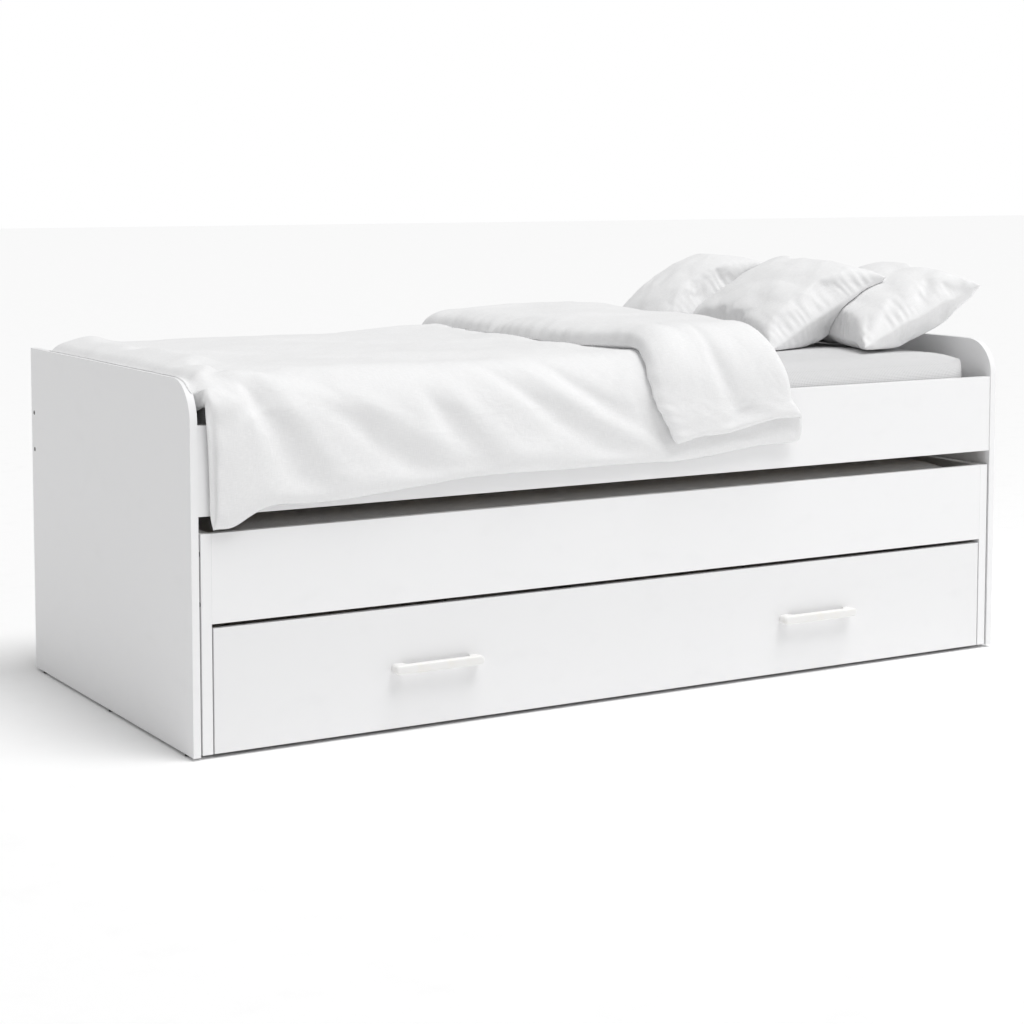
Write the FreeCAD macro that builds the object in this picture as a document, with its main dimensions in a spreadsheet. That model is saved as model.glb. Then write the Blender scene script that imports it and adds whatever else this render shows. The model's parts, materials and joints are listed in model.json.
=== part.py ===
import FreeCAD, Part
import Sketcher
import math
import os
import re

# Compact trundle bed: an upper bed between two end panels, a lower bed that rolls out from under it,
# and a storage drawer that rolls out between the lower bed's side boards. Millimetres, +Z up.
# X runs from the foot end (-X) to the head end (+X), and the open front faces -Y.
# Origin: floor level, at the middle of the length, halfway between the handles' faces and the back edge.

DIMENSIONS = (
    # end panels and the upper bed's rails
    ("BedLength", 2070, "outside of one end panel to the outside of the other"),
    ("PanelDepth", 940, "front edge to back edge of an end panel"),
    ("PanelTop", 745, "floor to the top edge of an end panel"),
    ("PanelThickness", 16, "end panel board"),
    ("PanelCornerRadius", 82, "rounded top corner at the front of an end panel"),
    ("EdgeRadius", 0.8, "softened edge of a laminated board"),
    ("GlideHeight", 5, "floor glide under an end panel"),
    ("GlideRadius", 6.5, "floor glide under an end panel"),
    ("GlideInset", 48, "outer glides from the panel's front and back edges"),
    ("Setback", 2, "fronts stand this far behind the end panels' front edges"),
    ("BackInset", 10, "back rails stand this far in front of the end panels' back edges"),
    ("PanelRise", 88, "end panels stand this far above the rails' top edges"),
    ("RailHeight", 178, "front and back rails of the upper bed"),
    ("RailThickness", 16, "rail board, upper bed and trundle"),
    # slats, their ledges and beams
    ("LedgeSize", 24, "square section of a slat ledge"),
    ("BedLedgeRise", 15, "upper ledges above the rails' lower edges"),
    ("TrundleLedgeRise", 4, "trundle ledges above the trundle rails' lower edges"),
    ("LedgeEndGap", 6, "ledge end to the board beside it"),
    ("SlatThickness", 12, "slat"),
    ("SlatWidth", 70, "slat"),
    ("SlatEndGap", 30, "end slats to the boards at the ends"),
    ("SlatSideGap", 2, "slat end to the rail's inner face"),
    ("BedSlatCount", 14, "slats under the upper mattress"),
    ("TrundleSlatCount", 13, "slats under the trundle mattress"),
    ("StrapWidth", 25, "webbing strap under the slats"),
    ("StrapThickness", 1, "webbing strap under the slats"),
    ("StrapInset", 150, "strap centre line from the rail's inner face"),
    ("BeamHeight", 40, "centre beam under the slats"),
    ("BeamWidth", 38, "centre beam under the slats"),
    ("BeamEndGap", 2, "beam end to the board beside it, where the bracket's back plate lies"),
    ("BracketThickness", 2, "steel plate of the beam brackets and drawer corner brackets"),
    ("BracketReach", 30, "shelf of a beam bracket under the beam"),
    # soft goods
    ("MattressThickness", 180, "upper mattress"),
    ("TrundleMattressThickness", 146, "trundle mattress"),
    ("MattressSideGap", 2, "mattress to the rails"),
    ("MattressEndGap", 19, "upper mattress to the end panels"),
    ("TrundleMattressEndGap", 42, "trundle mattress to the side boards"),
    ("MattressEdgeRadius", 22, "rounded edges of a mattress"),
    ("SoftGap", 1, "clear space round a soft piece"),
    ("DuvetLength", 1430, "duvet from the foot panel to its turned-down edge"),
    ("DuvetThickness", 58, "duvet on the mattress"),
    ("DuvetHang", 17, "thickness of the duvet where it hangs in front of the rail"),
    ("DuvetHemRise", 4, "hanging hem above the front rail's lower edge"),
    ("DuvetBackGap", 14, "duvet to the back rail"),
    ("FlapLength", 430, "turned-down part of the duvet, along the bed"),
    ("FlapThickness", 30, "turned-down part on top of the duvet"),
    ("FlapReach", 4, "turned-down part in front of the hanging duvet"),
    ("FlapDrop", 110, "lower edge of the turned-down part below the rail's top edge"),
    ("DuvetEdgeRadius", 8, "rounded edges of the duvet"),
    ("PillowEdgeRadius", 40, "rounded edges of a pillow"),
    ("HeadPillowFromPanel", 284, "lower edge of the pillow at the head panel, from the panel"),
    ("HeadPillowFromFront", 45, "its front end from the panels' front edges"),
    ("HeadPillowUp", 296, "its length up the slope"),
    ("HeadPillowAcross", 430, "its length across the bed"),
    ("HeadPillowThickness", 88, "its thickness"),
    ("HeadPillowSlope", 33, "its slope in degrees"),
    ("NearPillowFromPanel", 462, "lower edge of the pillow in the middle, from the head panel"),
    ("NearPillowFromFront", 208, "its front end from the panels' front edges"),
    ("NearPillowUp", 330, "its length up the slope"),
    ("NearPillowAcross", 440, "its length across the bed"),
    ("NearPillowThickness", 104, "its thickness"),
    ("NearPillowSlope", 33, "its slope in degrees"),
    ("FarPillowFromPanel", 458, "lower edge of the pillow at the back, from the head panel"),
    ("FarPillowFromFront", 652, "its front end from the panels' front edges"),
    ("FarPillowUp", 330, "its length up the slope"),
    ("FarPillowAcross", 250, "its length across the bed"),
    ("FarPillowThickness", 104, "its thickness"),
    ("FarPillowSlope", 31, "its slope in degrees"),
    # trundle
    ("TrundleSideGap", 4.5, "side board to the end panel"),
    ("TrundleBoardThickness", 22, "trundle side board"),
    ("TrundleTopGap", 34, "front rail's lower edge to the trundle's top edge, a finger gap"),
    ("TrundleRailHeight", 179, "trundle front and back rails"),
    ("FloorGap", 8, "floor to the lower edges of the trundle and the drawer front"),
    ("StretcherHeight", 80, "low board that ties the trundle's side boards at the back"),
    ("StretcherRise", 12, "low stretcher above the side boards' lower edges"),
    # drawer
    ("DrawerGap", 3, "drawer front to the trundle's side boards"),
    ("DrawerTopGap", 9, "drawer front to the trundle rail"),
    ("DrawerFrontThickness", 16, "drawer front"),
    ("DrawerSideThickness", 12, "drawer sides, back and divider"),
    ("DrawerSideInset", 46, "ends of the drawer front to the drawer sides, room for the trundle's castors"),
    ("DrawerSideDrop", 37, "top of the drawer sides below the top of the front"),
    ("DrawerSideRise", 14, "bottom of the drawer sides above the bottom of the front"),
    ("DrawerDepth", 850, "length of a drawer side"),
    ("DrawerFloorRise", 32, "drawer bottom above the lower edge of the sides"),
    ("DrawerFloorThickness", 8, "drawer bottom"),
    ("BattenWidth", 40, "batten under the drawer bottom"),
    ("BattenThickness", 14, "batten under the drawer bottom"),
    ("BattenInset", 420, "batten centre line from the middle of the drawer"),
    # bow handles
    ("HandleLength", 208, "bow handle"),
    ("HandleWidth", 20, "bow handle, seen from the front"),
    ("HandleProjection", 25, "face of a handle in front of the drawer front"),
    ("HandleGripDepth", 14, "finger space behind the grip"),
    ("HandleGripLength", 156, "finger space between the handle's feet"),
    ("HandleGripRadius", 10, "rounded corners of the finger space"),
    ("HandleFaceRadius", 5, "rounded face of the grip"),
    ("HandleOffset", 496, "middle of a handle from the middle of the drawer"),
    ("HandleScrewOffset", 91, "handle screws from the middle of a handle"),
    # castors
    ("WheelRadius", 22, "castor wheel"),
    ("WheelWidth", 15, "castor wheel"),
    ("WheelEdgeRadius", 2.5, "rounded rim of a castor wheel"),
    ("AxleRadius", 3, "castor axle"),
    ("AxleHeadRadius", 5.5, "head of a castor axle"),
    ("AxleHeadLength", 1.5, "head of a castor axle"),
    ("AxleClearance", 0.05, "wheel bore over the axle, on the radius"),
    ("FitClearance", 0.02, "a fixed pin or screw in its hole, on the radius"),
    ("WheelSideClearance", 0.6, "wheel to the boss and to the axle's head"),
    ("CastorPlateThickness", 2.5, "castor bracket plate"),
    ("CastorPlateLength", 56, "castor bracket plate, along the bed's depth"),
    ("CastorPlateHeight", 26, "castor bracket plate"),
    ("CastorBossRadius", 7, "boss round the axle"),
    ("CastorBossLength", 3, "boss round the axle"),
    ("CastorInset", 70, "wheel centre to the rail or board in front of or behind it"),
    ("CastorScrewOffset", 20, "castor screws from the axle"),
    # fasteners
    ("PanelScrewHeadRadius", 5, "one-piece panel screw"),
    ("PanelScrewHeadLength", 3, "one-piece panel screw"),
    ("PanelScrewRadius", 3.2, "one-piece panel screw"),
    ("PanelScrewLength", 50, "one-piece panel screw, with its head"),
    ("BackScrewLow", 35, "lower back rail screw above the rail's lower edge"),
    ("BackScrewSpacing", 84, "back rail screws"),
    ("TrundleScrewInset", 40, "trundle rail screws from the rail's edges"),
    ("WoodScrewHeadRadius", 3.6, "small wood screw"),
    ("WoodScrewHeadLength", 2, "small wood screw"),
    ("WoodScrewRadius", 1.7, "small wood screw"),
    ("LedgeScrewLength", 34, "wood screw through a ledge into its rail"),
    ("LedgeScrewCount", 5, "wood screws in each ledge"),
    ("LedgeScrewInset", 90, "first ledge screw from the ledge's end"),
    ("ShortScrewLength", 9, "wood screw through a bracket plate"),
    ("HandleScrewLength", 34, "machine screw through the drawer front into a handle"),
    ("CamRadius", 7.5, "cam of a cam-and-bolt fitting"),
    ("CamDepth", 12.5, "cam of a cam-and-bolt fitting"),
    ("CamInset", 34, "cam centre from the end of the rail"),
    ("CamSpacing", 110, "cams in one end of the front rail"),
    ("CamBoltRadius", 3.5, "bolt of a cam-and-bolt fitting"),
    ("CamBoltInPanel", 11, "cam bolt in the end panel"),
    ("DrillRunout", 1, "blind hole past the end of its screw"),
)

# Lines and faces that pieces share, each written once from the sizes above.
LINES = {
    "FootOuter": "0 - BedLength / 2",
    "FootInner": "FootOuter + PanelThickness",
    "HeadOuter": "BedLength / 2",
    "HeadInner": "HeadOuter - PanelThickness",
    "InnerLength": "BedLength - 2 * PanelThickness",
    "PanelFront": "(HandleProjection - Setback - PanelDepth) / 2",
    "PanelBack": "PanelFront + PanelDepth",
    "FrontFace": "PanelFront + Setback",
    "FrontInner": "FrontFace + RailThickness",
    "BackFace": "PanelBack - BackInset",
    "BackInner": "BackFace - RailThickness",
    "InnerDepth": "BackInner - FrontInner",
    "MiddleDepth": "(FrontInner + BackInner) / 2",
    "RailTop": "PanelTop - PanelRise",
    "RailBottom": "RailTop - RailHeight",
    "BedLedgeBottom": "RailBottom + BedLedgeRise",
    "BedSlatBottom": "BedLedgeBottom + LedgeSize",
    "MattressBottom": "BedSlatBottom + SlatThickness",
    "MattressTop": "MattressBottom + MattressThickness",
    "TrundleLeft": "FootInner + TrundleSideGap",
    "TrundleRight": "HeadInner - TrundleSideGap",
    "TrundleInnerLeft": "TrundleLeft + TrundleBoardThickness",
    "TrundleInnerRight": "TrundleRight - TrundleBoardThickness",
    "TrundleInnerLength": "TrundleInnerRight - TrundleInnerLeft",
    "TrundleTop": "RailBottom - TrundleTopGap",
    "TrundleRailBottom": "TrundleTop - TrundleRailHeight",
    "TrundleLedgeBottom": "TrundleRailBottom + TrundleLedgeRise",
    "TrundleSlatBottom": "TrundleLedgeBottom + LedgeSize",
    "TrundleMattressBottom": "TrundleSlatBottom + SlatThickness",
    "StretcherBottom": "FloorGap + StretcherRise",
    "DrawerTop": "TrundleRailBottom - DrawerTopGap",
    "DrawerLeft": "TrundleInnerLeft + DrawerGap",
    "DrawerRight": "TrundleInnerRight - DrawerGap",
    "DrawerSideLeft": "DrawerLeft + DrawerSideInset",
    "DrawerSideRight": "DrawerRight - DrawerSideInset",
    "DrawerInnerLeft": "DrawerSideLeft + DrawerSideThickness",
    "DrawerInnerRight": "DrawerSideRight - DrawerSideThickness",
    "DrawerInnerFront": "FrontFace + DrawerFrontThickness",
    "DrawerSideBottom": "FloorGap + DrawerSideRise",
    "DrawerSideTop": "DrawerTop - DrawerSideDrop",
    "DrawerSideHeight": "DrawerSideTop - DrawerSideBottom",
    "DrawerFloorBottom": "DrawerSideBottom + DrawerFloorRise",
    "DrawerFloorTop": "DrawerFloorBottom + DrawerFloorThickness",
    "DrawerBackFace": "DrawerInnerFront + DrawerDepth",
    "DrawerBackInner": "DrawerBackFace - DrawerSideThickness",
    "HandleHeight": "(FloorGap + DrawerTop) / 2",
    "WheelOffset": "CastorPlateThickness + CastorBossLength + WheelSideClearance + WheelWidth / 2",
    "CastorPlateBottom": "WheelRadius - CastorBossRadius",
    "DuvetTop": "MattressTop + SoftGap + DuvetThickness",
    "DuvetFront": "PanelFront - SoftGap - DuvetHang",
}

# A cylinder or board is built along its own +Z and turned to lie along one of these directions.
AIM = {
    "+X": FreeCAD.Rotation(FreeCAD.Vector(0, 1, 0), 90),
    "-X": FreeCAD.Rotation(FreeCAD.Vector(0, 1, 0), -90),
    "+Y": FreeCAD.Rotation(FreeCAD.Vector(1, 0, 0), -90),
    "-Y": FreeCAD.Rotation(FreeCAD.Vector(1, 0, 0), 90),
    "+Z": FreeCAD.Rotation(),
}
STANDS_ACROSS = FreeCAD.Rotation(FreeCAD.Vector(1, 1, 1), 120)  # sketch x to +Y, y to +Z, pad to +X
STANDS_ALONG = FreeCAD.Rotation(FreeCAD.Vector(1, 0, 0), 90)  # sketch x to +X, y to +Z, pad to -Y
LIES_FLAT = FreeCAD.Rotation()  # sketch x to +X, y to +Y, pad to +Z

NEAR = 1e-4  # two coordinates this close are the same
START = 10.0  # a sketch is first drawn this large, before its dimensions pull it to size

doc = FreeCAD.newDocument("TrundleBed")
sheet = doc.addObject("Spreadsheet::Sheet", "Sizes")
nodes = []


def fill_sheet():
    """Writes every driving dimension into the spreadsheet under its own name."""
    for row, (alias, value, meaning) in enumerate(DIMENSIONS, start=1):
        sheet.set(f"A{row}", alias)
        sheet.set(f"B{row}", str(value))
        sheet.set(f"C{row}", meaning)
        sheet.setAlias(f"B{row}", alias)
    doc.recompute()


def formula(text):
    """Turns a sum of the names above into an expression on the spreadsheet's cells."""

    def cell(match):
        name = match.group(0)
        if name in LINES:
            return f"({formula(LINES[name])})"
        return f"Sizes.{name}"

    return re.sub(r"[A-Z]\w+", cell, str(text))


def size(name):
    """A driving dimension's value, for counts and for picking edges."""
    return float(sheet.get(name))


def bind(item, **sums):
    """Binds properties of an object to the spreadsheet."""
    for name, text in sums.items():
        item.setExpression(name, formula(text))


def place(item, point, rotation=LIES_FLAT):
    """Turns an object, then binds its position to the spreadsheet."""
    item.Placement = FreeCAD.Placement(FreeCAD.Vector(), rotation)
    for axis, text in zip("xyz", point):
        item.setExpression(f"Placement.Base.{axis}", formula(text))


def node(item, name):
    """Marks an object as a finished sub-part with its own name."""
    item.Label = name
    nodes.append(item)
    return item


def box(name, corner, extent):
    """A block from its lowest corner."""
    item = doc.addObject("Part::Box", name)
    bind(item, Length=extent[0], Width=extent[1], Height=extent[2])
    place(item, corner)
    return item


def rod(name, radius, length, start, aim):
    """A round bar from the middle of one end, along one of the directions in AIM."""
    item = doc.addObject("Part::Cylinder", name)
    bind(item, Radius=radius, Height=length)
    place(item, start, AIM[aim])
    return item


def fused(name, pieces):
    """One solid made of touching or overlapping pieces."""
    item = doc.addObject("Part::MultiFuse", name)
    item.Shapes = pieces
    item.Refine = True
    return item


def group(name, pieces):
    """Separate solids that share one sub-part."""
    item = doc.addObject("Part::Compound", name)
    item.Links = pieces
    return node(item, name)


def cut(name, blank, tools):
    """A blank less its drilled holes."""
    drills = doc.addObject("Part::Compound", f"{name}_drills")
    drills.Links = tools
    item = doc.addObject("Part::Cut", f"{name}_drilled")
    item.Base = blank
    item.Tool = drills
    return node(item, name)


def stepped(point, aim, distance):
    """A point moved along one of the directions in AIM."""
    sign, axis = aim[0], "XYZ".index(aim[1])
    moved = list(point)
    moved[axis] = f"({point[axis]}) {sign} ({distance})"
    return tuple(moved)


def screw(name, kind, length, head, aim):
    """A screw from the middle of its head's face. Its shank starts under the head."""
    head_rod = rod(f"{name}_head", f"{kind}HeadRadius", f"{kind}HeadLength", head, aim)
    under = stepped(head, aim, f"{kind}HeadLength")
    shank = rod(f"{name}_shank", f"{kind}Radius", f"{length} - {kind}HeadLength", under, aim)
    return fused(name, [head_rod, shank])


def screw_hole(name, kind, length, head, aim):
    """The stepped hole that a screw of that kind fills, a little deeper than the screw."""
    head_hole = rod(f"{name}_counterbore", f"{kind}HeadRadius + FitClearance", f"{kind}HeadLength", head, aim)
    under = stepped(head, aim, f"{kind}HeadLength")
    depth = f"{length} - {kind}HeadLength + DrillRunout"
    shank_hole = rod(f"{name}_bore", f"{kind}Radius + FitClearance", depth, under, aim)
    return fused(name, [head_hole, shank_hole])


def screws_and_holes(name, kind, length, places):
    """A group of identical screws, and the holes for a board to be drilled with."""
    screws = [screw(f"{name}_{i}", kind, length, head, aim) for i, (head, aim) in enumerate(places)]
    group(name, screws)

    def holes(board):
        return [
            screw_hole(f"{board}_{name}_{i}", kind, length, head, aim)
            for i, (head, aim) in enumerate(places)
        ]

    return holes


def origin_plane(body, role):
    """One of a body's own origin planes."""
    return next(plane for plane in body.Origin.OriginFeatures if plane.Role == role)


def new_sketch(body, role, name):
    """An empty sketch on one of a body's own origin planes."""
    sketch = body.newObject("Sketcher::SketchObject", name)
    sketch.AttachmentSupport = [(origin_plane(body, role), "")]
    sketch.MapMode = "FlatFace"
    return sketch


def closed_outline(sketch, points):
    """A closed run of straight lines. Points are pairs of sums; each gets its own two dimensions."""
    start = [FreeCAD.Vector(START * (i + 1), START * (i * i + 1), 0) for i in range(len(points))]
    lines = [Part.LineSegment(a, b) for a, b in zip(start, start[1:] + start[:1])]
    sketch.addGeometry(lines, False)
    for i in range(len(points)):
        sketch.addConstraint(Sketcher.Constraint("Coincident", i, 2, (i + 1) % len(points), 1))
    for i, pair in enumerate(points):
        for axis, kind, text in (("X", "DistanceX", pair[0]), ("Y", "DistanceY", pair[1])):
            index = sketch.addConstraint(Sketcher.Constraint(kind, -1, 1, i, 1, START * (i + 1)))
            sketch.renameConstraint(index, f"Point{i}{axis}")
            sketch.setExpression(f"Constraints.Point{i}{axis}", formula(text))


def rectangle(sketch, width, height):
    """A rectangle with one corner at the sketch's origin."""
    corners = [FreeCAD.Vector(x, y, 0) for x, y in ((0, 0), (START, 0), (START, START), (0, START))]
    sketch.addGeometry([Part.LineSegment(a, b) for a, b in zip(corners, corners[1:] + corners[:1])], False)
    for i in range(len(corners)):
        sketch.addConstraint(Sketcher.Constraint("Coincident", i, 2, (i + 1) % len(corners), 1))
    sketch.addConstraint(Sketcher.Constraint("Coincident", 0, 1, -1, 1))
    for i in (0, 2):
        sketch.addConstraint(Sketcher.Constraint("Horizontal", i))
    for i in (1, 3):
        sketch.addConstraint(Sketcher.Constraint("Vertical", i))
    across = sketch.addConstraint(Sketcher.Constraint("DistanceX", 0, 1, 0, 2, START))
    sketch.renameConstraint(across, "Across")
    up = sketch.addConstraint(Sketcher.Constraint("DistanceY", 1, 1, 1, 2, START))
    sketch.renameConstraint(up, "Up")
    sketch.setExpression("Constraints.Across", formula(width))
    sketch.setExpression("Constraints.Up", formula(height))


def padded(body, sketch, thickness):
    """A pad on a sketch, along the sketch's normal."""
    pad = body.newObject("PartDesign::Pad", f"{body.Name}_pad")
    pad.Profile = sketch
    pad.Type = "Length"
    bind(pad, Length=thickness)
    sketch.Visibility = False
    return pad


def rounded(body, feature, radius, keep, name="edges"):
    """A fillet on the edges of a feature that keep() picks."""
    doc.recompute()
    picked = [f"Edge{i}" for i, edge in enumerate(feature.Shape.Edges, start=1) if keep(edge)]
    fillet = body.newObject("PartDesign::Fillet", f"{body.Name}_{name}")
    fillet.Base = (feature, picked)
    bind(fillet, Radius=radius)
    return fillet


def on_flat_faces(thickness):
    """Picks the edges that lie in a board's two large faces."""

    def keep(edge):
        levels = [vertex.Point.z for vertex in edge.Vertexes]
        return any(all(abs(z - face) < NEAR for z in levels) for face in (0, thickness))

    return keep


def board(name, rotation, corner, width, height, thickness, edge_radius="EdgeRadius"):
    """A laminated board: a rectangle, padded, with its edges softened."""
    body = doc.addObject("PartDesign::Body", name)
    sketch = new_sketch(body, "XY_Plane", f"{name}_outline")
    rectangle(sketch, width, height)
    pad = padded(body, sketch, thickness)
    doc.recompute()
    level = pad.Shape.BoundBox.ZMax
    rounded(body, pad, edge_radius, on_flat_faces(level))
    place(body, corner, rotation)
    return body


def plain_board(name, rotation, corner, width, height, thickness):
    """A board that is a finished sub-part without holes."""
    return node(board(name, rotation, corner, width, height, thickness), name)


def cushion(name, corner, extent, radius, rotation=LIES_FLAT):
    """A soft block, rounded on every edge."""
    body = doc.addObject("PartDesign::Body", name)
    sketch = new_sketch(body, "XY_Plane", f"{name}_outline")
    rectangle(sketch, extent[0], extent[1])
    pad = padded(body, sketch, extent[2])
    rounded(body, pad, radius, lambda edge: True)
    place(body, corner, rotation)
    return node(body, name)


# ---------------------------------------------------------------- upper bed


def back_screw_places():
    """Panel screws through both end panels into the back rail's ends."""
    depth = "BackFace - RailThickness / 2"
    levels = ("RailBottom + BackScrewLow", "RailBottom + BackScrewLow + BackScrewSpacing")
    feet = [(("FootOuter", depth, level), "+X") for level in levels]
    heads = [(("HeadOuter", depth, level), "-X") for level in levels]
    return feet + heads


def cam_places():
    """Middle height of each cam fitting, with the panel face it starts from and its direction."""
    levels = [f"RailBottom + RailHeight / 2 {sign} CamSpacing / 2" for sign in "-+"]
    ends = (("FootInner", "+X"), ("HeadInner", "-X"))
    return [(face, aim, level) for face, aim in ends for level in levels]


def cam_bolt(name, face, aim, level, extra=""):
    """A cam bolt from inside the panel to the rim of its cam."""
    middle = "FrontFace + RailThickness / 2"
    back = {"+X": "-X", "-X": "+X"}[aim]
    start = stepped((face, middle, level), back, f"CamBoltInPanel {extra}")
    reach = f"CamBoltInPanel + CamInset - CamRadius {extra}"
    return rod(name, f"CamBoltRadius {extra}", reach, start, aim)


def cam(name, face, aim, level, extra=""):
    """A cam let into the rail's inner face."""
    centre = stepped((face, "FrontInner", level), aim, "CamInset")
    return rod(name, f"CamRadius {extra}", "CamDepth", centre, "-Y")


def end_panel(name, outer, back_holes, cam_holes):
    """An end panel with its top corner rounded at the front."""
    body = doc.addObject("PartDesign::Body", f"{name}_blank")
    sketch = new_sketch(body, "XY_Plane", f"{name}_outline")
    rectangle(sketch, "PanelDepth", "PanelTop - GlideHeight")
    pad = padded(body, sketch, "PanelThickness")
    doc.recompute()
    top = pad.Shape.BoundBox.YMax

    def front_top(edge):
        return all(abs(v.Point.x) < NEAR and abs(v.Point.y - top) < NEAR for v in edge.Vertexes)

    corner = rounded(body, pad, "PanelCornerRadius", front_top, "corner")
    rounded(body, corner, "EdgeRadius", on_flat_faces(pad.Shape.BoundBox.ZMax))
    place(body, (outer, "PanelFront", "GlideHeight"), STANDS_ACROSS)
    bolt_holes = [cam_bolt(f"{name}_cam_{i}", *spot, "+ FitClearance") for i, spot in enumerate(cam_holes)]
    cut(name, body, back_holes(name) + bolt_holes)


def bed_rails(back_holes, ledge_holes):
    """The front rail with its cam fittings, and the back rail."""
    extent = ("InnerLength", "RailHeight", "RailThickness")
    front = board("front_rail_blank", STANDS_ALONG, ("FootInner", "FrontInner", "RailBottom"), *extent)
    spots = list(enumerate(cam_places()))
    cam_holes = [cam(f"front_rail_cam_hole_{i}", *spot, "+ FitClearance") for i, spot in spots]
    bolt_holes = [cam_bolt(f"front_rail_bolt_hole_{i}", *spot, "+ FitClearance") for i, spot in spots]
    cut("front_rail", front, cam_holes + bolt_holes + ledge_holes("front_rail"))
    back = board("back_rail_blank", STANDS_ALONG, ("FootInner", "BackFace", "RailBottom"), *extent)
    cut("back_rail", back, back_holes("back_rail") + ledge_holes("back_rail"))
    group("front_rail_cams", [cam(f"cam_{i}", *spot) for i, spot in spots])
    group("front_rail_cam_bolts", [cam_bolt(f"cam_bolt_{i}", *spot) for i, spot in spots])


def ledge_screw_places(left, length, bottom):
    """Wood screws from inside, through both ledges into their rails."""
    count = int(size("LedgeScrewCount"))
    level = f"{bottom} + LedgeSize / 2"
    places = []
    for i in range(count):
        along = f"{left} + LedgeScrewInset + {i} * ({length} - 2 * LedgeScrewInset) / {count - 1}"
        places.append(((along, "FrontInner + LedgeSize", level), "-Y"))
        places.append(((along, "BackInner - LedgeSize", level), "+Y"))
    return places


def slat_base(prefix, left, length, ledge_bottom, slat_count):
    """Ledges, slats, straps, centre beam and beam brackets between two boards."""
    ledge_left = f"{left} + LedgeEndGap"
    ledge_length = f"{length} - 2 * LedgeEndGap"
    places = ledge_screw_places(ledge_left, ledge_length, ledge_bottom)
    holes = screws_and_holes(f"{prefix}_ledge_screws", "WoodScrew", "LedgeScrewLength", places)
    for side, near in (("front", "FrontInner"), ("back", "BackInner - LedgeSize")):
        name = f"{prefix}_{side}_ledge"
        corner = (ledge_left, near, ledge_bottom)
        blank = box(f"{name}_blank", corner, (ledge_length, "LedgeSize", "LedgeSize"))
        cut(name, blank, holes(name))
    slat_level = f"{ledge_bottom} + LedgeSize"
    pitch = f"({length} - 2 * SlatEndGap - SlatWidth) / {slat_count - 1}"
    extent = ("SlatWidth", "InnerDepth - 2 * SlatSideGap", "SlatThickness")
    slats = []
    for i in range(slat_count):
        corner = (f"{left} + SlatEndGap + {i} * {pitch}", "FrontInner + SlatSideGap", slat_level)
        slats.append(box(f"{prefix}_slat_{i}", corner, extent))
    group(f"{prefix}_slats", slats)
    extent = (f"{length} - 2 * SlatEndGap", "StrapWidth", "StrapThickness")
    straps = []
    for i, middle in enumerate(("FrontInner + StrapInset", "BackInner - StrapInset")):
        corner = (f"{left} + SlatEndGap", f"{middle} - StrapWidth / 2", f"{slat_level} - StrapThickness")
        straps.append(box(f"{prefix}_strap_{i}", corner, extent))
    group(f"{prefix}_slat_straps", straps)
    centre_beam(prefix, left, length, slat_level)
    return holes


def centre_beam(prefix, left, length, slat_level):
    """A beam under the middle of the slats, held at each end by a bent bracket."""
    beam_side = "MiddleDepth - BeamWidth / 2"
    beam_bottom = f"{slat_level} - BeamHeight"
    corner = (f"{left} + BeamEndGap", beam_side, beam_bottom)
    extent = (f"{length} - 2 * BeamEndGap", "BeamWidth", "BeamHeight")
    node(box(f"{prefix}_beam", corner, extent), f"{prefix}_beam")
    brackets = []
    shelf_bottom = f"{beam_bottom} - BracketThickness"
    ends = (
        (left, left),
        (f"{left} + {length} - BracketThickness", f"{left} + {length} - BracketReach"),
    )
    for i, (plate_left, shelf_left) in enumerate(ends):
        plate = box(
            f"{prefix}_bracket_plate_{i}",
            (plate_left, beam_side, shelf_bottom),
            ("BracketThickness", "BeamWidth", "BeamHeight + BracketThickness"),
        )
        shelf = box(
            f"{prefix}_bracket_shelf_{i}",
            (shelf_left, beam_side, shelf_bottom),
            ("BracketReach", "BeamWidth", "BracketThickness"),
        )
        brackets.append(fused(f"{prefix}_bracket_{i}", [plate, shelf]))
    group(f"{prefix}_beam_brackets", brackets)


def floor_glides():
    """Three round glides under each end panel."""
    depths = ("PanelFront + GlideInset", "PanelFront + PanelDepth / 2", "PanelBack - GlideInset")
    middles = ("FootOuter + PanelThickness / 2", "HeadOuter - PanelThickness / 2")
    spots = [(middle, depth) for middle in middles for depth in depths]
    group(
        "floor_glides",
        [rod(f"glide_{i}", "GlideRadius", "GlideHeight", (*spot, "0"), "+Z") for i, spot in enumerate(spots)],
    )


def upper_bed():
    """End panels, rails, slat base and glides of the upper bed."""
    back_holes = screws_and_holes("back_rail_screws", "PanelScrew", "PanelScrewLength", back_screw_places())
    spots = cam_places()
    end_panel("foot_end_panel", "FootOuter", back_holes, spots[:2])
    end_panel("head_end_panel", "HeadInner", back_holes, spots[2:])
    ledge_holes = slat_base("bed", "FootInner", "InnerLength", "BedLedgeBottom", int(size("BedSlatCount")))
    bed_rails(back_holes, ledge_holes)
    floor_glides()


# ---------------------------------------------------------------- soft goods


def mattresses():
    """A mattress on each slat base."""
    depth = "InnerDepth - 2 * MattressSideGap"
    near = "FrontInner + MattressSideGap"
    cushion(
        "bed_mattress",
        ("FootInner + MattressEndGap", near, "MattressBottom"),
        ("InnerLength - 2 * MattressEndGap", depth, "MattressThickness"),
        "MattressEdgeRadius",
    )
    cushion(
        "trundle_mattress",
        ("TrundleInnerLeft + TrundleMattressEndGap", near, "TrundleMattressBottom"),
        ("TrundleInnerLength - 2 * TrundleMattressEndGap", depth, "TrundleMattressThickness"),
        "MattressEdgeRadius",
    )


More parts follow.
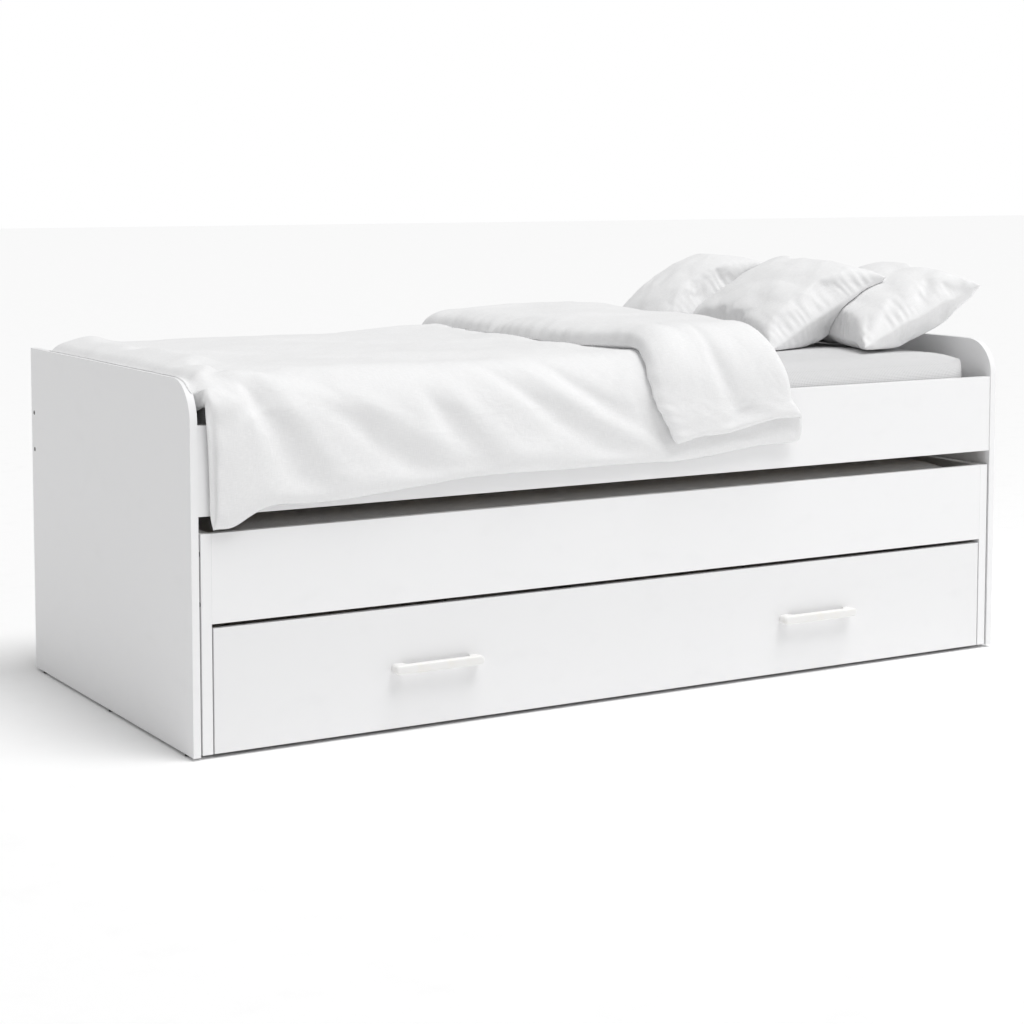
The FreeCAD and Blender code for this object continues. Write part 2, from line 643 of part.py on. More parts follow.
def duvet_section(name, left, length, front, hem, underside, back_gap, hang, thickness):
    """A bent slab: a flat part on the bed and a part that hangs in front of the rail."""
    body = doc.addObject("PartDesign::Body", name)
    sketch = new_sketch(body, "XY_Plane", f"{name}_outline")
    reach = f"BackInner - {back_gap} - ({front})"
    drop = f"{underside} - ({hem})"
    outline = (
        ("0", "0"),
        (hang, "0"),
        (hang, drop),
        (reach, drop),
        (reach, f"{drop} + {thickness}"),
        ("0", f"{drop} + {thickness}"),
    )
    closed_outline(sketch, outline)
    pad = padded(body, sketch, length)
    rounded(body, pad, "DuvetEdgeRadius", lambda edge: edge.Length > size("DuvetHang") * 1.5)
    place(body, (left, front, hem), STANDS_ACROSS)
    return body


def duvet():
    """The duvet over the bed and the rail, and its head end turned down on top of it."""
    left = "FootInner + SoftGap"
    lower = duvet_section(
        "duvet_lower",
        left,
        "DuvetLength",
        "DuvetFront",
        "RailBottom + DuvetHemRise",
        "MattressTop + SoftGap",
        "DuvetBackGap",
        "DuvetHang",
        "DuvetThickness",
    )
    flap = duvet_section(
        "duvet_flap",
        f"{left} + DuvetLength - FlapLength",
        "FlapLength",
        "DuvetFront - FlapReach",
        "RailTop - FlapDrop",
        "DuvetTop - DuvetEdgeRadius",
        "DuvetBackGap",
        "DuvetHang",
        "FlapThickness + DuvetEdgeRadius",
    )
    node(fused("duvet_whole", [lower, flap]), "duvet")


def pillows():
    """Three pillows that lean on each other at the head end."""
    for name, kind in (("pillow_head", "Head"), ("pillow_near", "Near"), ("pillow_far", "Far")):
        front = f"PanelFront + {kind}PillowFromFront"
        turn = FreeCAD.Rotation(FreeCAD.Vector(0, 1, 0), -size(f"{kind}PillowSlope"))
        cushion(
            name,
            (f"HeadInner - {kind}PillowFromPanel", front, "MattressTop + SoftGap"),
            (f"{kind}PillowUp", f"{kind}PillowAcross", f"{kind}PillowThickness"),
            "PillowEdgeRadius",
            turn,
        )


# ---------------------------------------------------------------- trundle


def trundle_screw_places():
    """Panel screws through the trundle's side boards into its rails and its stretcher."""
    levels = ("TrundleTop - TrundleScrewInset", "TrundleRailBottom + TrundleScrewInset")
    front, back = "FrontFace + RailThickness / 2", "BackFace - RailThickness / 2"
    spots = [(depth, level) for depth in (front, back) for level in levels]
    spots.append((back, "StretcherBottom + StretcherHeight / 2"))
    faces = (("TrundleLeft", "+X"), ("TrundleRight", "-X"))
    return [((face, *spot), aim) for face, aim in faces for spot in spots]


def trundle():
    """Side boards, rails, stretcher and slat base of the lower bed."""
    places = trundle_screw_places()
    screw_holes = screws_and_holes("trundle_board_screws", "PanelScrew", "PanelScrewLength", places)
    castor_holes = castors(
        "trundle",
        (("left", "TrundleInnerLeft", "+X"), ("right", "TrundleInnerRight", "-X")),
        (("front", "FrontInner + CastorInset"), ("back", "BackInner - CastorInset")),
    )
    for side, left in (("left", "TrundleLeft"), ("right", "TrundleInnerRight")):
        name = f"trundle_{side}_board"
        extent = ("BackFace - FrontFace", "TrundleTop - FloorGap", "TrundleBoardThickness")
        blank = board(f"{name}_blank", STANDS_ACROSS, (left, "FrontFace", "FloorGap"), *extent)
        cut(name, blank, screw_holes(name) + castor_holes(name))
    slat_count = int(size("TrundleSlatCount"))
    ledge_holes = slat_base(
        "trundle", "TrundleInnerLeft", "TrundleInnerLength", "TrundleLedgeBottom", slat_count
    )
    rails = (
        ("trundle_front_rail", "FrontInner", "TrundleRailBottom", "TrundleRailHeight"),
        ("trundle_back_rail", "BackFace", "TrundleRailBottom", "TrundleRailHeight"),
        ("trundle_back_stretcher", "BackFace", "StretcherBottom", "StretcherHeight"),
    )
    for name, inner, bottom, height in rails:
        corner = ("TrundleInnerLeft", inner, bottom)
        blank = board(f"{name}_blank", STANDS_ALONG, corner, "TrundleInnerLength", height, "RailThickness")
        cut(name, blank, screw_holes(name) + ledge_holes(name))


# ---------------------------------------------------------------- castors


def wheel(name, centre):
    """A castor wheel with a rounded rim and a plain bore, turning on an axle along X."""
    body = doc.addObject("PartDesign::Body", name)
    rim = new_sketch(body, "XY_Plane", f"{name}_rim")
    rim.addGeometry(Part.Circle(FreeCAD.Vector(), FreeCAD.Vector(0, 0, 1), START), False)
    rim.addConstraint(Sketcher.Constraint("Coincident", 0, 3, -1, 1))
    rim.renameConstraint(rim.addConstraint(Sketcher.Constraint("Radius", 0, START)), "Rim")
    rim.setExpression("Constraints.Rim", formula("WheelRadius"))
    pad = padded(body, rim, "WheelWidth")
    pad.Midplane = True
    tread = rounded(body, pad, "WheelEdgeRadius", lambda edge: edge.Closed, "tread")
    bore = new_sketch(body, "XY_Plane", f"{name}_bore")
    bore.addGeometry(Part.Circle(FreeCAD.Vector(), FreeCAD.Vector(0, 0, 1), START), False)
    bore.addConstraint(Sketcher.Constraint("Coincident", 0, 3, -1, 1))
    bore.renameConstraint(bore.addConstraint(Sketcher.Constraint("Radius", 0, START)), "Bore")
    bore.setExpression("Constraints.Bore", formula("AxleRadius + AxleClearance"))
    pocket = body.newObject("PartDesign::Pocket", f"{name}_pocket")
    pocket.Profile = bore
    pocket.Type = "ThroughAll"
    pocket.Midplane = True
    bore.Visibility = False
    place(body, centre, AIM["+X"])
    doc.recompute()
    if body.Shape.Volume >= tread.Shape.Volume:
        raise RuntimeError(f"{name}: the bore cuts nothing")
    return node(body, name)


def castor_bracket(name, face, aim, depth):
    """A plate against its board, with a boss that holds the axle."""
    left = face if aim == "+X" else f"{face} - CastorPlateThickness"
    plate = box(
        f"{name}_plate",
        (left, f"{depth} - CastorPlateLength / 2", "CastorPlateBottom"),
        ("CastorPlateThickness", "CastorPlateLength", "CastorPlateHeight"),
    )
    start = stepped((face, depth, "WheelRadius"), aim, "CastorPlateThickness")
    boss = rod(f"{name}_boss", "CastorBossRadius", "CastorBossLength", start, aim)
    return fused(name, [plate, boss])


def castor_axle(name, face, aim, depth):
    """An axle pressed into its bracket, with a flat head outside the wheel."""
    shank_length = "WheelOffset + WheelWidth / 2 + WheelSideClearance"
    start = (face, depth, "WheelRadius")
    shank = rod(f"{name}_shank", "AxleRadius", shank_length, start, aim)
    head = rod(f"{name}_head", "AxleHeadRadius", "AxleHeadLength", stepped(start, aim, shank_length), aim)
    return fused(name, [shank, head])


def castors(prefix, sides, depths):
    """Four castors, each a bracket, an axle, two screws and a wheel. Returns the screw holes."""
    screw_places = []
    brackets = []
    axles = []
    for side, face, aim in sides:
        for end, depth in depths:
            name = f"{prefix}_{end}_{side}"
            axle_spot = (face, depth, "WheelRadius")
            brackets.append((name, face, aim, depth))
            axles.append(castor_axle(f"{name}_axle", face, aim, depth))
            wheel(f"{prefix}_wheel_{end}_{side}", stepped(axle_spot, aim, "WheelOffset"))
            into_board = {"+X": "-X", "-X": "+X"}[aim]
            level = "CastorPlateBottom + CastorPlateHeight / 2"
            for sign in "-+":
                spot = (face, f"{depth} {sign} CastorScrewOffset", level)
                screw_places.append((stepped(spot, aim, "CastorPlateThickness"), into_board))
    holes = screws_and_holes(f"{prefix}_castor_screws", "WoodScrew", "ShortScrewLength", screw_places)
    drilled = []
    for i, (name, face, aim, depth) in enumerate(brackets):
        tools = doc.addObject("Part::Compound", f"{name}_bracket_drills")
        axle_hole = rod(
            f"{name}_axle_hole",
            "AxleRadius + FitClearance",
            "CastorPlateThickness + CastorBossLength",
            (face, depth, "WheelRadius"),
            aim,
        )
        tools.Links = [axle_hole] + holes(name)[2 * i : 2 * i + 2]
        bracket = doc.addObject("Part::Cut", f"{name}_bracket")
        bracket.Base = castor_bracket(f"{name}_bracket_blank", face, aim, depth)
        bracket.Tool = tools
        drilled.append(bracket)
    group(f"{prefix}_castor_brackets", drilled)
    group(f"{prefix}_castor_axles", axles)
    return holes


# ---------------------------------------------------------------- drawer


def handle_screw_places():
    """Machine screws from inside the drawer, through its front into both handles."""
    places = []
    for side in "-+":
        for sign in "-+":
            along = f"0 {side} HandleOffset {sign} HandleScrewOffset"
            places.append(((along, "DrawerInnerFront", "HandleHeight"), "-Y"))
    return places


def handle(name, side, holes):
    """A bow handle: a round-ended bar whose middle stands clear of the drawer front."""
    body = doc.addObject("PartDesign::Body", f"{name}_blank")
    sketch = new_sketch(body, "XY_Plane", f"{name}_outline")
    radius = size("HandleWidth") / 2
    half = size("HandleLength") / 2 - radius
    quarter = math.pi / 2
    up = FreeCAD.Vector(0, 0, 1)
    right, left = FreeCAD.Vector(half, 0, 0), FreeCAD.Vector(-half, 0, 0)
    sketch.addGeometry(
        [
            Part.LineSegment(FreeCAD.Vector(-half, -radius, 0), FreeCAD.Vector(half, -radius, 0)),
            Part.ArcOfCircle(Part.Circle(right, up, radius), -quarter, quarter),
            Part.LineSegment(FreeCAD.Vector(half, radius, 0), FreeCAD.Vector(-half, radius, 0)),
            Part.ArcOfCircle(Part.Circle(left, up, radius), quarter, 3 * quarter),
        ],
        False,
    )
    for constraint in (
        ("Tangent", 0, 2, 1, 1),
        ("Tangent", 1, 2, 2, 1),
        ("Tangent", 2, 2, 3, 1),
        ("Tangent", 3, 2, 0, 1),
        ("Horizontal", 0),
        ("Symmetric", 1, 3, 3, 3, -1, 1),
    ):
        sketch.addConstraint(Sketcher.Constraint(*constraint))
    sketch.renameConstraint(sketch.addConstraint(Sketcher.Constraint("Radius", 1, radius)), "End")
    sketch.setExpression("Constraints.End", formula("HandleWidth / 2"))
    span = sketch.addConstraint(Sketcher.Constraint("DistanceX", 3, 3, 1, 3, 2 * half))
    sketch.renameConstraint(span, "Span")
    sketch.setExpression("Constraints.Span", formula("HandleLength - HandleWidth"))
    pad = padded(body, sketch, "HandleProjection")
    doc.recompute()
    face_level = pad.Shape.BoundBox.ZMax
    rounded(
        body,
        pad,
        "HandleFaceRadius",
        lambda edge: all(abs(v.Point.z - face_level) < NEAR for v in edge.Vertexes),
        "face",
    )
    place(body, (f"0 {side} HandleOffset", "FrontFace", "HandleHeight"), STANDS_ALONG)
    cut(name, body, [grip_space(name, side)] + holes(name))


def grip_space(name, side):
    """The finger space behind a grip, rounded where the grip curves back to its feet."""
    block = box(
        f"{name}_grip_block",
        (
            f"0 {side} HandleOffset - HandleGripLength / 2",
            "FrontFace - HandleGripDepth",
            "HandleHeight - HandleWidth",
        ),
        ("HandleGripLength", "HandleGripDepth * 2", "HandleWidth * 2"),
    )
    doc.recompute()
    front = block.Shape.BoundBox.YMin

    def front_upright(edge):
        ends = [vertex.Point for vertex in edge.Vertexes]
        return all(abs(end.y - front) < NEAR for end in ends) and abs(ends[0].x - ends[1].x) < NEAR

    space = doc.addObject("Part::Fillet", f"{name}_grip_space")
    space.Base = block
    radius = size("HandleGripRadius")
    edges = enumerate(block.Shape.Edges, start=1)
    space.Edges = [(i, radius, radius) for i, edge in edges if front_upright(edge)]
    return space


def drawer_screw_places():
    """Panel screws through the drawer sides into the ends of the drawer back."""
    depth = "DrawerBackFace - DrawerSideThickness / 2"
    places = []
    for level in ("DrawerSideBottom + DrawerSideHeight / 4", "DrawerSideTop - DrawerSideHeight / 4"):
        places.append((("DrawerSideLeft", depth, level), "+X"))
        places.append((("DrawerSideRight", depth, level), "-X"))
    return places


def drawer_corner_brackets():
    """An angle bracket in each front corner of the drawer, between its front and its side."""
    level = "DrawerSideTop - DrawerSideHeight / 2"
    brackets = []
    for side, inner, sign in (("left", "DrawerInnerLeft", "+"), ("right", "DrawerInnerRight", "-")):
        plate_left = inner if sign == "+" else f"{inner} - BracketThickness"
        wing_left = inner if sign == "+" else f"{inner} - BracketReach"
        on_side = box(
            f"corner_{side}_plate",
            (plate_left, "DrawerInnerFront", level),
            ("BracketThickness", "BracketReach", "BracketReach"),
        )
        on_front = box(
            f"corner_{side}_wing",
            (wing_left, "DrawerInnerFront", level),
            ("BracketReach", "BracketThickness", "BracketReach"),
        )
        brackets.append(fused(f"corner_{side}", [on_side, on_front]))
    group("drawer_corner_brackets", brackets)


def drawer():
    """Front, box, bottom, handles and castors of the drawer."""
    handle_holes = screws_and_holes("handle_screws", "WoodScrew", "HandleScrewLength", handle_screw_places())
    front = board(
        "drawer_front_blank",
        STANDS_ALONG,
        ("DrawerLeft", "DrawerInnerFront", "FloorGap"),
        "DrawerRight - DrawerLeft",
        "DrawerTop - FloorGap",
        "DrawerFrontThickness",
    )
    cut("drawer_front", front, handle_holes("drawer_front"))
    handle("left_handle", "-", handle_holes)
    handle("right_handle", "+", handle_holes)
    box_holes = screws_and_holes("drawer_box_screws", "PanelScrew", "PanelScrewLength", drawer_screw_places())
    castor_holes = castors(
        "drawer",
        (("left", "DrawerInnerLeft", "+X"), ("right", "DrawerInnerRight", "-X")),
        (("front", "DrawerInnerFront + CastorInset"), ("back", "DrawerBackInner - CastorInset")),
    )
    for side, left in (("left", "DrawerSideLeft"), ("right", "DrawerInnerRight")):
        name = f"drawer_{side}_side"
        corner = (left, "DrawerInnerFront", "DrawerSideBottom")
        extent = ("DrawerDepth", "DrawerSideHeight", "DrawerSideThickness")
        blank = board(f"{name}_blank", STANDS_ACROSS, corner, *extent)
        cut(name, blank, box_holes(name) + castor_holes(name))
    inner_length = "DrawerInnerRight - DrawerInnerLeft"
    back = board(
        "drawer_back_blank",
        STANDS_ALONG,
        ("DrawerInnerLeft", "DrawerBackFace", "DrawerSideBottom"),
        inner_length,
        "DrawerSideHeight",
        "DrawerSideThickness",
    )
    cut("drawer_back", back, box_holes("drawer_back"))
    inner_depth = "DrawerBackInner - DrawerInnerFront"
    plain_board(
        "drawer_bottom",
        LIES_FLAT,
        ("DrawerInnerLeft", "DrawerInnerFront", "DrawerFloorBottom"),
        inner_length,
        inner_depth,
        "DrawerFloorThickness",
    )
    plain_board(
        "drawer_divider",
        STANDS_ACROSS,
        ("0 - DrawerSideThickness / 2", "DrawerInnerFront", "DrawerFloorTop"),
        inner_depth,
        "DrawerSideTop - DrawerFloorTop",
        "DrawerSideThickness",
    )
    battens = []
    for i, side in enumerate("-+"):
        corner = (
            f"0 {side} BattenInset - BattenWidth / 2",
            "DrawerInnerFront",
            "DrawerFloorBottom - BattenThickness",
        )
        battens.append(box(f"batten_{i}", corner, ("BattenWidth", inner_depth, "BattenThickness")))
    group("drawer_battens", battens)
    drawer_corner_brackets()


# ---------------------------------------------------------------- build, check and write


def check_all():
    """Stops unless every object computed and every sub-part is one valid shape."""
    doc.recompute()
    for item in doc.Objects:
        if "Invalid" in item.State or "Error" in item.State:
            raise RuntimeError(f"{item.Label} did not compute: {item.State}")
    for item in nodes:
        if item.Shape.isNull() or not item.Shape.isValid():
            raise RuntimeError(f"{item.Label} has no valid shape")


def write_all():
    """Writes each sub-part to its own file."""
    os.makedirs("parts", exist_ok=True)
    for item in nodes:
        item.Shape.exportStep(f"parts/{item.Label}.step")
    print(len(nodes), "sub-parts written")


fill_sheet()
upper_bed()
trundle()
drawer()
mattresses()
duvet()
pillows()
check_all()
write_all()
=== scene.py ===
"""A white compact trundle bed, dressed: board finishes, mattresses, duvet, pillows, castors and studio."""

import json
import logging
import math
from collections.abc import Callable, Sequence
from dataclasses import dataclass, field
from enum import Enum

import bmesh
import bpy
from mathutils import Matrix, Vector, noise
from mathutils.bvhtree import BVHTree


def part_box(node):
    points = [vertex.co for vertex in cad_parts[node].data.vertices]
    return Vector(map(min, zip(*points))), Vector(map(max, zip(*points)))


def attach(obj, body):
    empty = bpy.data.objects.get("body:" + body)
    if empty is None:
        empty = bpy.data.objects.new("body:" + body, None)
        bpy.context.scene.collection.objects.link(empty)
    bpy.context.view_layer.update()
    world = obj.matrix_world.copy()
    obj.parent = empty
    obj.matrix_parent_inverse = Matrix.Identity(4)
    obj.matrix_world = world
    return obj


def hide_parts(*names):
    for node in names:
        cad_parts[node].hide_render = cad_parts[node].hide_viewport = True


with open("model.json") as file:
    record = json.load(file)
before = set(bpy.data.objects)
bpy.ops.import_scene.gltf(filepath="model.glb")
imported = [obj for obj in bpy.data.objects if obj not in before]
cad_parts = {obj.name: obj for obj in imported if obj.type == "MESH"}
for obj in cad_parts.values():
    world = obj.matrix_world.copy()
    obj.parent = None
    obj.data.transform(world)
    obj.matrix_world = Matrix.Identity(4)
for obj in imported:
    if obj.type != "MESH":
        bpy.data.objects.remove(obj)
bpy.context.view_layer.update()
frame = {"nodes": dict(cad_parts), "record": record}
LOG = logging.getLogger("trundle_bed")
MILLIMETRE = 0.001
UP = Vector((0.0, 0.0, 1.0))
FORWARDS = Vector((0.0, -1.0, 0.0))
ALONG = Vector((1.0, 0.0, 0.0))
Colour = tuple[float, float, float]
Place = Callable[[float, float], Vector]
Amount = Callable[[float, float], float]


# ------------------------------ shader maths


# places of a Mix node's colour sockets among its inputs and outputs
COLOUR_A, COLOUR_B, MIXED_COLOUR = 6, 7, 2


class Wire:
    """One output socket, used in sums like a number."""

    def __init__(self, sheet: "NodeSheet", socket: bpy.types.NodeSocket) -> None:
        """Keeps the socket and the sheet that its sums are drawn on."""
        self.sheet = sheet
        self.socket = socket

    def _math(self, operation: str, *values: "Wire | float") -> "Wire":
        """Adds one Math node.

        Args:
            operation: the Math node's operation.
            values: its inputs in order.

        Returns:
            The node's result.
        """
        return self.sheet.node("ShaderNodeMath", {"operation": operation}, dict(enumerate(values)))

    def __add__(self, other: "Wire | float") -> "Wire":
        """self + other."""
        return self._math("ADD", self, other)

    def __radd__(self, other: float) -> "Wire":
        """other + self."""
        return self._math("ADD", other, self)

    def __sub__(self, other: "Wire | float") -> "Wire":
        """self - other."""
        return self._math("SUBTRACT", self, other)

    def __rsub__(self, other: float) -> "Wire":
        """other - self."""
        return self._math("SUBTRACT", other, self)

    def __mul__(self, other: "Wire | float") -> "Wire":
        """self * other."""
        return self._math("MULTIPLY", self, other)

    def __rmul__(self, other: float) -> "Wire":
        """other * self."""
        return self._math("MULTIPLY", other, self)

    def __abs__(self) -> "Wire":
        """The size of self without its sign."""
        return self._math("ABSOLUTE", self)

    def sine(self) -> "Wire":
        """The sine of self, in radians."""
        return self._math("SINE", self)

    def ramp(self, low: float, high: float) -> "Wire":
        """Rises smoothly from 0 at low to 1 at high.

        Args:
            low: where the ramp leaves 0.
            high: where it reaches 1.

        Returns:
            The ramp's value.
        """
        settings = {"interpolation_type": "SMOOTHSTEP"}
        return self.sheet.node("ShaderNodeMapRange", settings, {0: self, 1: low, 2: high})


class NodeSheet:
    """The node tree of one material, world or light."""

    def __init__(self, tree: bpy.types.NodeTree) -> None:
        """Starts on an empty tree."""
        self.tree = tree
        tree.nodes.clear()

    def node(
        self,
        kind: str,
        settings: dict[str, object] | None = None,
        inputs: dict[str | int, object] | None = None,
        output: str | int = 0,
    ) -> Wire:
        """Adds any node.

        Args:
            kind: the node's type.
            settings: properties that are set before its sockets.
            inputs: values or wires by socket name or number.
            output: which output to return.

        Returns:
            The chosen output.
        """
        made = self.tree.nodes.new(kind)
        for name, value in (settings or {}).items():
            setattr(made, name, value)
        for name, value in (inputs or {}).items():
            if isinstance(value, Wire):
                self.tree.links.new(value.socket, made.inputs[name])
            else:
                made.inputs[name].default_value = value
        return Wire(self, made.outputs[output] if len(made.outputs) else None)

    def axes(self, point: Wire) -> tuple[Wire, Wire, Wire]:
        """The three numbers of a point."""
        split = self.node("ShaderNodeSeparateXYZ", {}, {0: point})
        outputs = split.socket.node.outputs
        return tuple(Wire(self, outputs[i]) for i in range(3))

    def blend(self, factor: Wire | float, first: object, second: object) -> Wire:
        """Mixes two colours.

        Args:
            factor: the second colour's share, from 0 to 1.
            first: a colour or a wire.
            second: a colour or a wire.

        Returns:
            The mixed colour.
        """
        settings = {"data_type": "RGBA"}
        pair = [(*c, 1.0) if isinstance(c, tuple) else c for c in (first, second)]
        made = self.node("ShaderNodeMix", settings, {"Factor": factor}, MIXED_COLOUR)
        mix = made.socket.node
        for socket, value in zip(mix.inputs[COLOUR_A : COLOUR_B + 1], pair):
            if isinstance(value, Wire):
                self.tree.links.new(value.socket, socket)
            else:
                socket.default_value = value
        return made

    def speckle(
        self, point: Wire, scale: float, detail: float = 2.0, stretch: Sequence[float] = (1, 1, 1)
    ) -> Wire:
        """Smooth noise.

        Args:
            point: the coordinates.
            scale: patches per metre.
            detail: octaves of finer noise.
            stretch: how much each axis is compressed before the noise.

        Returns:
            Noise from 0 to 1.
        """
        moved = self.node("ShaderNodeMapping", {}, {"Vector": point, "Scale": tuple(stretch)})
        return self.node("ShaderNodeTexNoise", {}, {"Vector": moved, "Scale": scale, "Detail": detail})

    def bump(self, height: Wire, depth: float, strength: float = 1.0) -> Wire:
        """A Bump node for a height from 0 to 1.

        Args:
            height: the height.
            depth: how deep 1 is, in metres.
            strength: the bump's strength.

        Returns:
            The bent normal.
        """
        return self.node(
            "ShaderNodeBump", {}, {"Height": height, "Distance": depth, "Strength": strength}
        )


@dataclass(frozen=True)
class Finish:
    """A surface finish. Each kind paints its own nodes."""

    name: str
    colour: Colour
    roughness: float

    def paint(self, sheet: NodeSheet) -> dict[str, object]:
        """The values and wires for the shader's sockets."""
        return {}

    def toned(self, share: float) -> Colour:
        """The finish's colour at a share of its brightness."""
        return tuple(part * share for part in self.colour)

    def material(self) -> bpy.types.Material:
        """The finished material, made once and then shared.

        Returns:
            The material.
        """
        title = f"finish_{self.name}"
        known = bpy.data.materials.get(title)
        if known is not None:
            return known
        made = bpy.data.materials.new(title)
        made.use_nodes = True
        sheet = NodeSheet(made.node_tree)
        inputs: dict[str, object] = {"Base Color": (*self.colour, 1.0), "Roughness": self.roughness}
        inputs.update(self.paint(sheet))
        shader = sheet.node("ShaderNodeBsdfPrincipled", {}, inputs)
        sheet.node("ShaderNodeOutputMaterial", {}, {"Surface": shader})
        return made


def here(sheet: NodeSheet) -> Wire:
    """Coordinates in metres, fixed to the piece."""
    return sheet.node("ShaderNodeTexCoord", {}, {}, "Object")


def on_cloth(sheet: NodeSheet) -> Wire:
    """Coordinates in metres along the flat cloth."""
    return sheet.node("ShaderNodeUVMap", {"uv_map": "cloth"})


@dataclass(frozen=True)
class Laminate(Finish):
    """Melamine-faced board: a faint pebbled skin, uneven gloss and slightly handled patches."""

    pebble: float = 0.04

    def paint(self, sheet: NodeSheet) -> dict[str, object]:
        """Pebbled bump, gloss patches and a trace of handling."""
        point = here(sheet)
        pebbles = sheet.speckle(point, 900, 1.0)
        waves = sheet.speckle(point, 7, 1.0)
        smudges = sheet.speckle(point, 11, 4.0, (1, 1, 1.7)).ramp(0.52, 0.78)
        worn = self.toned(0.965)
        return {
            "Base Color": sheet.blend(smudges * 0.5, self.colour, worn),
            "Roughness": self.roughness + 0.10 * sheet.speckle(point, 26, 3.0) - 0.06 * smudges,
            "Normal": sheet.bump(pebbles * self.pebble + waves, 0.0006, 0.5),
            "Specular IOR Level": 0.42,
        }


@dataclass(frozen=True)
class Percale(Finish):
    """Plain-woven cotton: crossed threads, slubs, fine creases and a soft sheen."""

    creases: float = 0.5

    def paint(self, sheet: NodeSheet) -> dict[str, object]:
        """Threads both ways with painted shade between them, slubs, and creases from folding."""
        cloth = on_cloth(sheet)
        warp = sheet.speckle(cloth, 60, 1.0, (26, 1, 1))
        weft = sheet.speckle(cloth, 60, 1.0, (1, 26, 1))
        slubs = sheet.speckle(cloth, 140, 2.0, (1, 7, 1)).ramp(0.62, 0.74)
        rumple = sheet.speckle(cloth, 16, 5.0)
        folds = sheet.speckle(cloth, 7, 3.0, (1, 2.2, 1))
        crease = 1 - abs(folds * 2 - 1).ramp(0.0, 0.16)
        soft = sheet.speckle(cloth, 34, 4.0)
        threads = (warp + weft) * 0.05 + slubs * 0.03
        height = threads + rumple * 0.55 + crease * 0.22 * self.creases + soft * 0.25
        # painted shade: the cloth is coloured darker where the threads lie low, between their raised
        # crossings
        shade = self.toned(0.93)
        return {
            "Base Color": sheet.blend((warp * weft).ramp(0.14, 0.42), shade, self.colour),
            "Roughness": self.roughness - 0.10 * slubs,
            "Normal": sheet.bump(height, 0.0045, 0.55),
            "Sheen Weight": 0.05,
            "Sheen Roughness": 0.5,
            "Specular IOR Level": 0.15,
        }


@dataclass(frozen=True)
class Knit(Finish):
    """Stretch-knit mattress ticking: small raised lozenges in rows, fuzzy and matt."""

    pitch: float = 0.009

    def paint(self, sheet: NodeSheet) -> dict[str, object]:
        """Crossed ribs that swell into lozenges, with painted shade in the valleys between them, over yarn
        fuzz.
        """
        cloth = on_cloth(sheet)
        along, across, _ = sheet.axes(cloth)
        turn = 2 * math.pi / self.pitch
        one = ((along + across) * turn).sine()
        two = ((along - across) * turn).sine()
        lozenge = (one * two) * 0.5 + 0.5
        yarn = sheet.speckle(cloth, 420, 2.0)
        cloudy = sheet.speckle(cloth, 5, 3.0)
        # painted shade: the valleys between the raised lozenges are coloured darker; the yarn fuzz also
        # varies the tone
        valley = self.toned(0.86)
        tone = (lozenge * 0.75 + yarn * 0.25).ramp(0.15, 0.7)
        return {
            "Base Color": sheet.blend(tone, valley, self.colour),
            "Roughness": self.roughness - 0.05 * yarn,
            "Normal": sheet.bump(lozenge * 0.8 + yarn * 0.3 + cloudy * 0.6, 0.0011, 0.8),
            "Sheen Weight": 0.05,
            "Specular IOR Level": 0.1,
        }


class Grain(Enum):
    """The direction in which a board's grain runs."""

    ALONG_X = (1.0, 22.0, 22.0)
    ALONG_Y = (22.0, 1.0, 22.0)


@dataclass(frozen=True)
class Timber(Finish):
    """Bare wood: stretched grain, growth rings and open pores."""

    grain: Grain = Grain.ALONG_X

    def paint(self, sheet: NodeSheet) -> dict[str, object]:
        """Rings, pores and a change of tone from board to board."""
        point = here(sheet)
        streaks = sheet.speckle(point, 9, 5.0, self.grain.value)
        pores = sheet.speckle(point, 60, 2.0, self.grain.value).ramp(0.55, 0.7)
        boards = sheet.speckle(point, 4.3, 0.0)
        dark = self.toned(0.66)
        tone = (streaks * 0.8 + boards * 0.5).ramp(0.35, 0.85)
        return {
            "Base Color": sheet.blend(tone - pores * 0.25, dark, self.colour),
            "Roughness": self.roughness + 0.15 * pores,
            "Normal": sheet.bump(streaks - pores * 0.5, 0.0004, 0.5),
        }


@dataclass(frozen=True)
class Steel(Finish):
    """Plated steel: fine brushing and cloudy zinc."""

    def paint(self, sheet: NodeSheet) -> dict[str, object]:
        """Brushed streaks and spangle."""
        point = here(sheet)
        streaks = sheet.speckle(point, 260, 3.0, (1, 6, 1))
        spangle = sheet.speckle(point, 90, 2.0)
        dull = self.toned(0.72)
        return {
            "Base Color": sheet.blend(spangle.ramp(0.35, 0.7), dull, self.colour),
            "Metallic": 1.0,
            "Roughness": self.roughness + 0.2 * streaks,
            "Normal": sheet.bump(streaks, 0.00008, 0.5),
        }


@dataclass(frozen=True)
class Moulded(Finish):
    """Moulded plastic or rubber: a spark-eroded texture and rubbed high spots."""

    texture: float = 0.00006
    warm: float = 0.0

    def paint(self, sheet: NodeSheet) -> dict[str, object]:
        """Fine texture, flow marks and handling."""
        point = here(sheet)
        fine = sheet.speckle(point, 1400, 1.0)
        flow = sheet.speckle(point, 30, 3.0)
        aged = tuple(c * f for c, f in zip(self.colour, (0.98, 0.95, 0.90 - self.warm)))
        return {
            "Base Color": sheet.blend(flow.ramp(0.5, 0.8) * 0.5, self.colour, aged),
            "Roughness": self.roughness + 0.12 * flow,
            "Normal": sheet.bump(fine, self.texture, 0.6),
        }


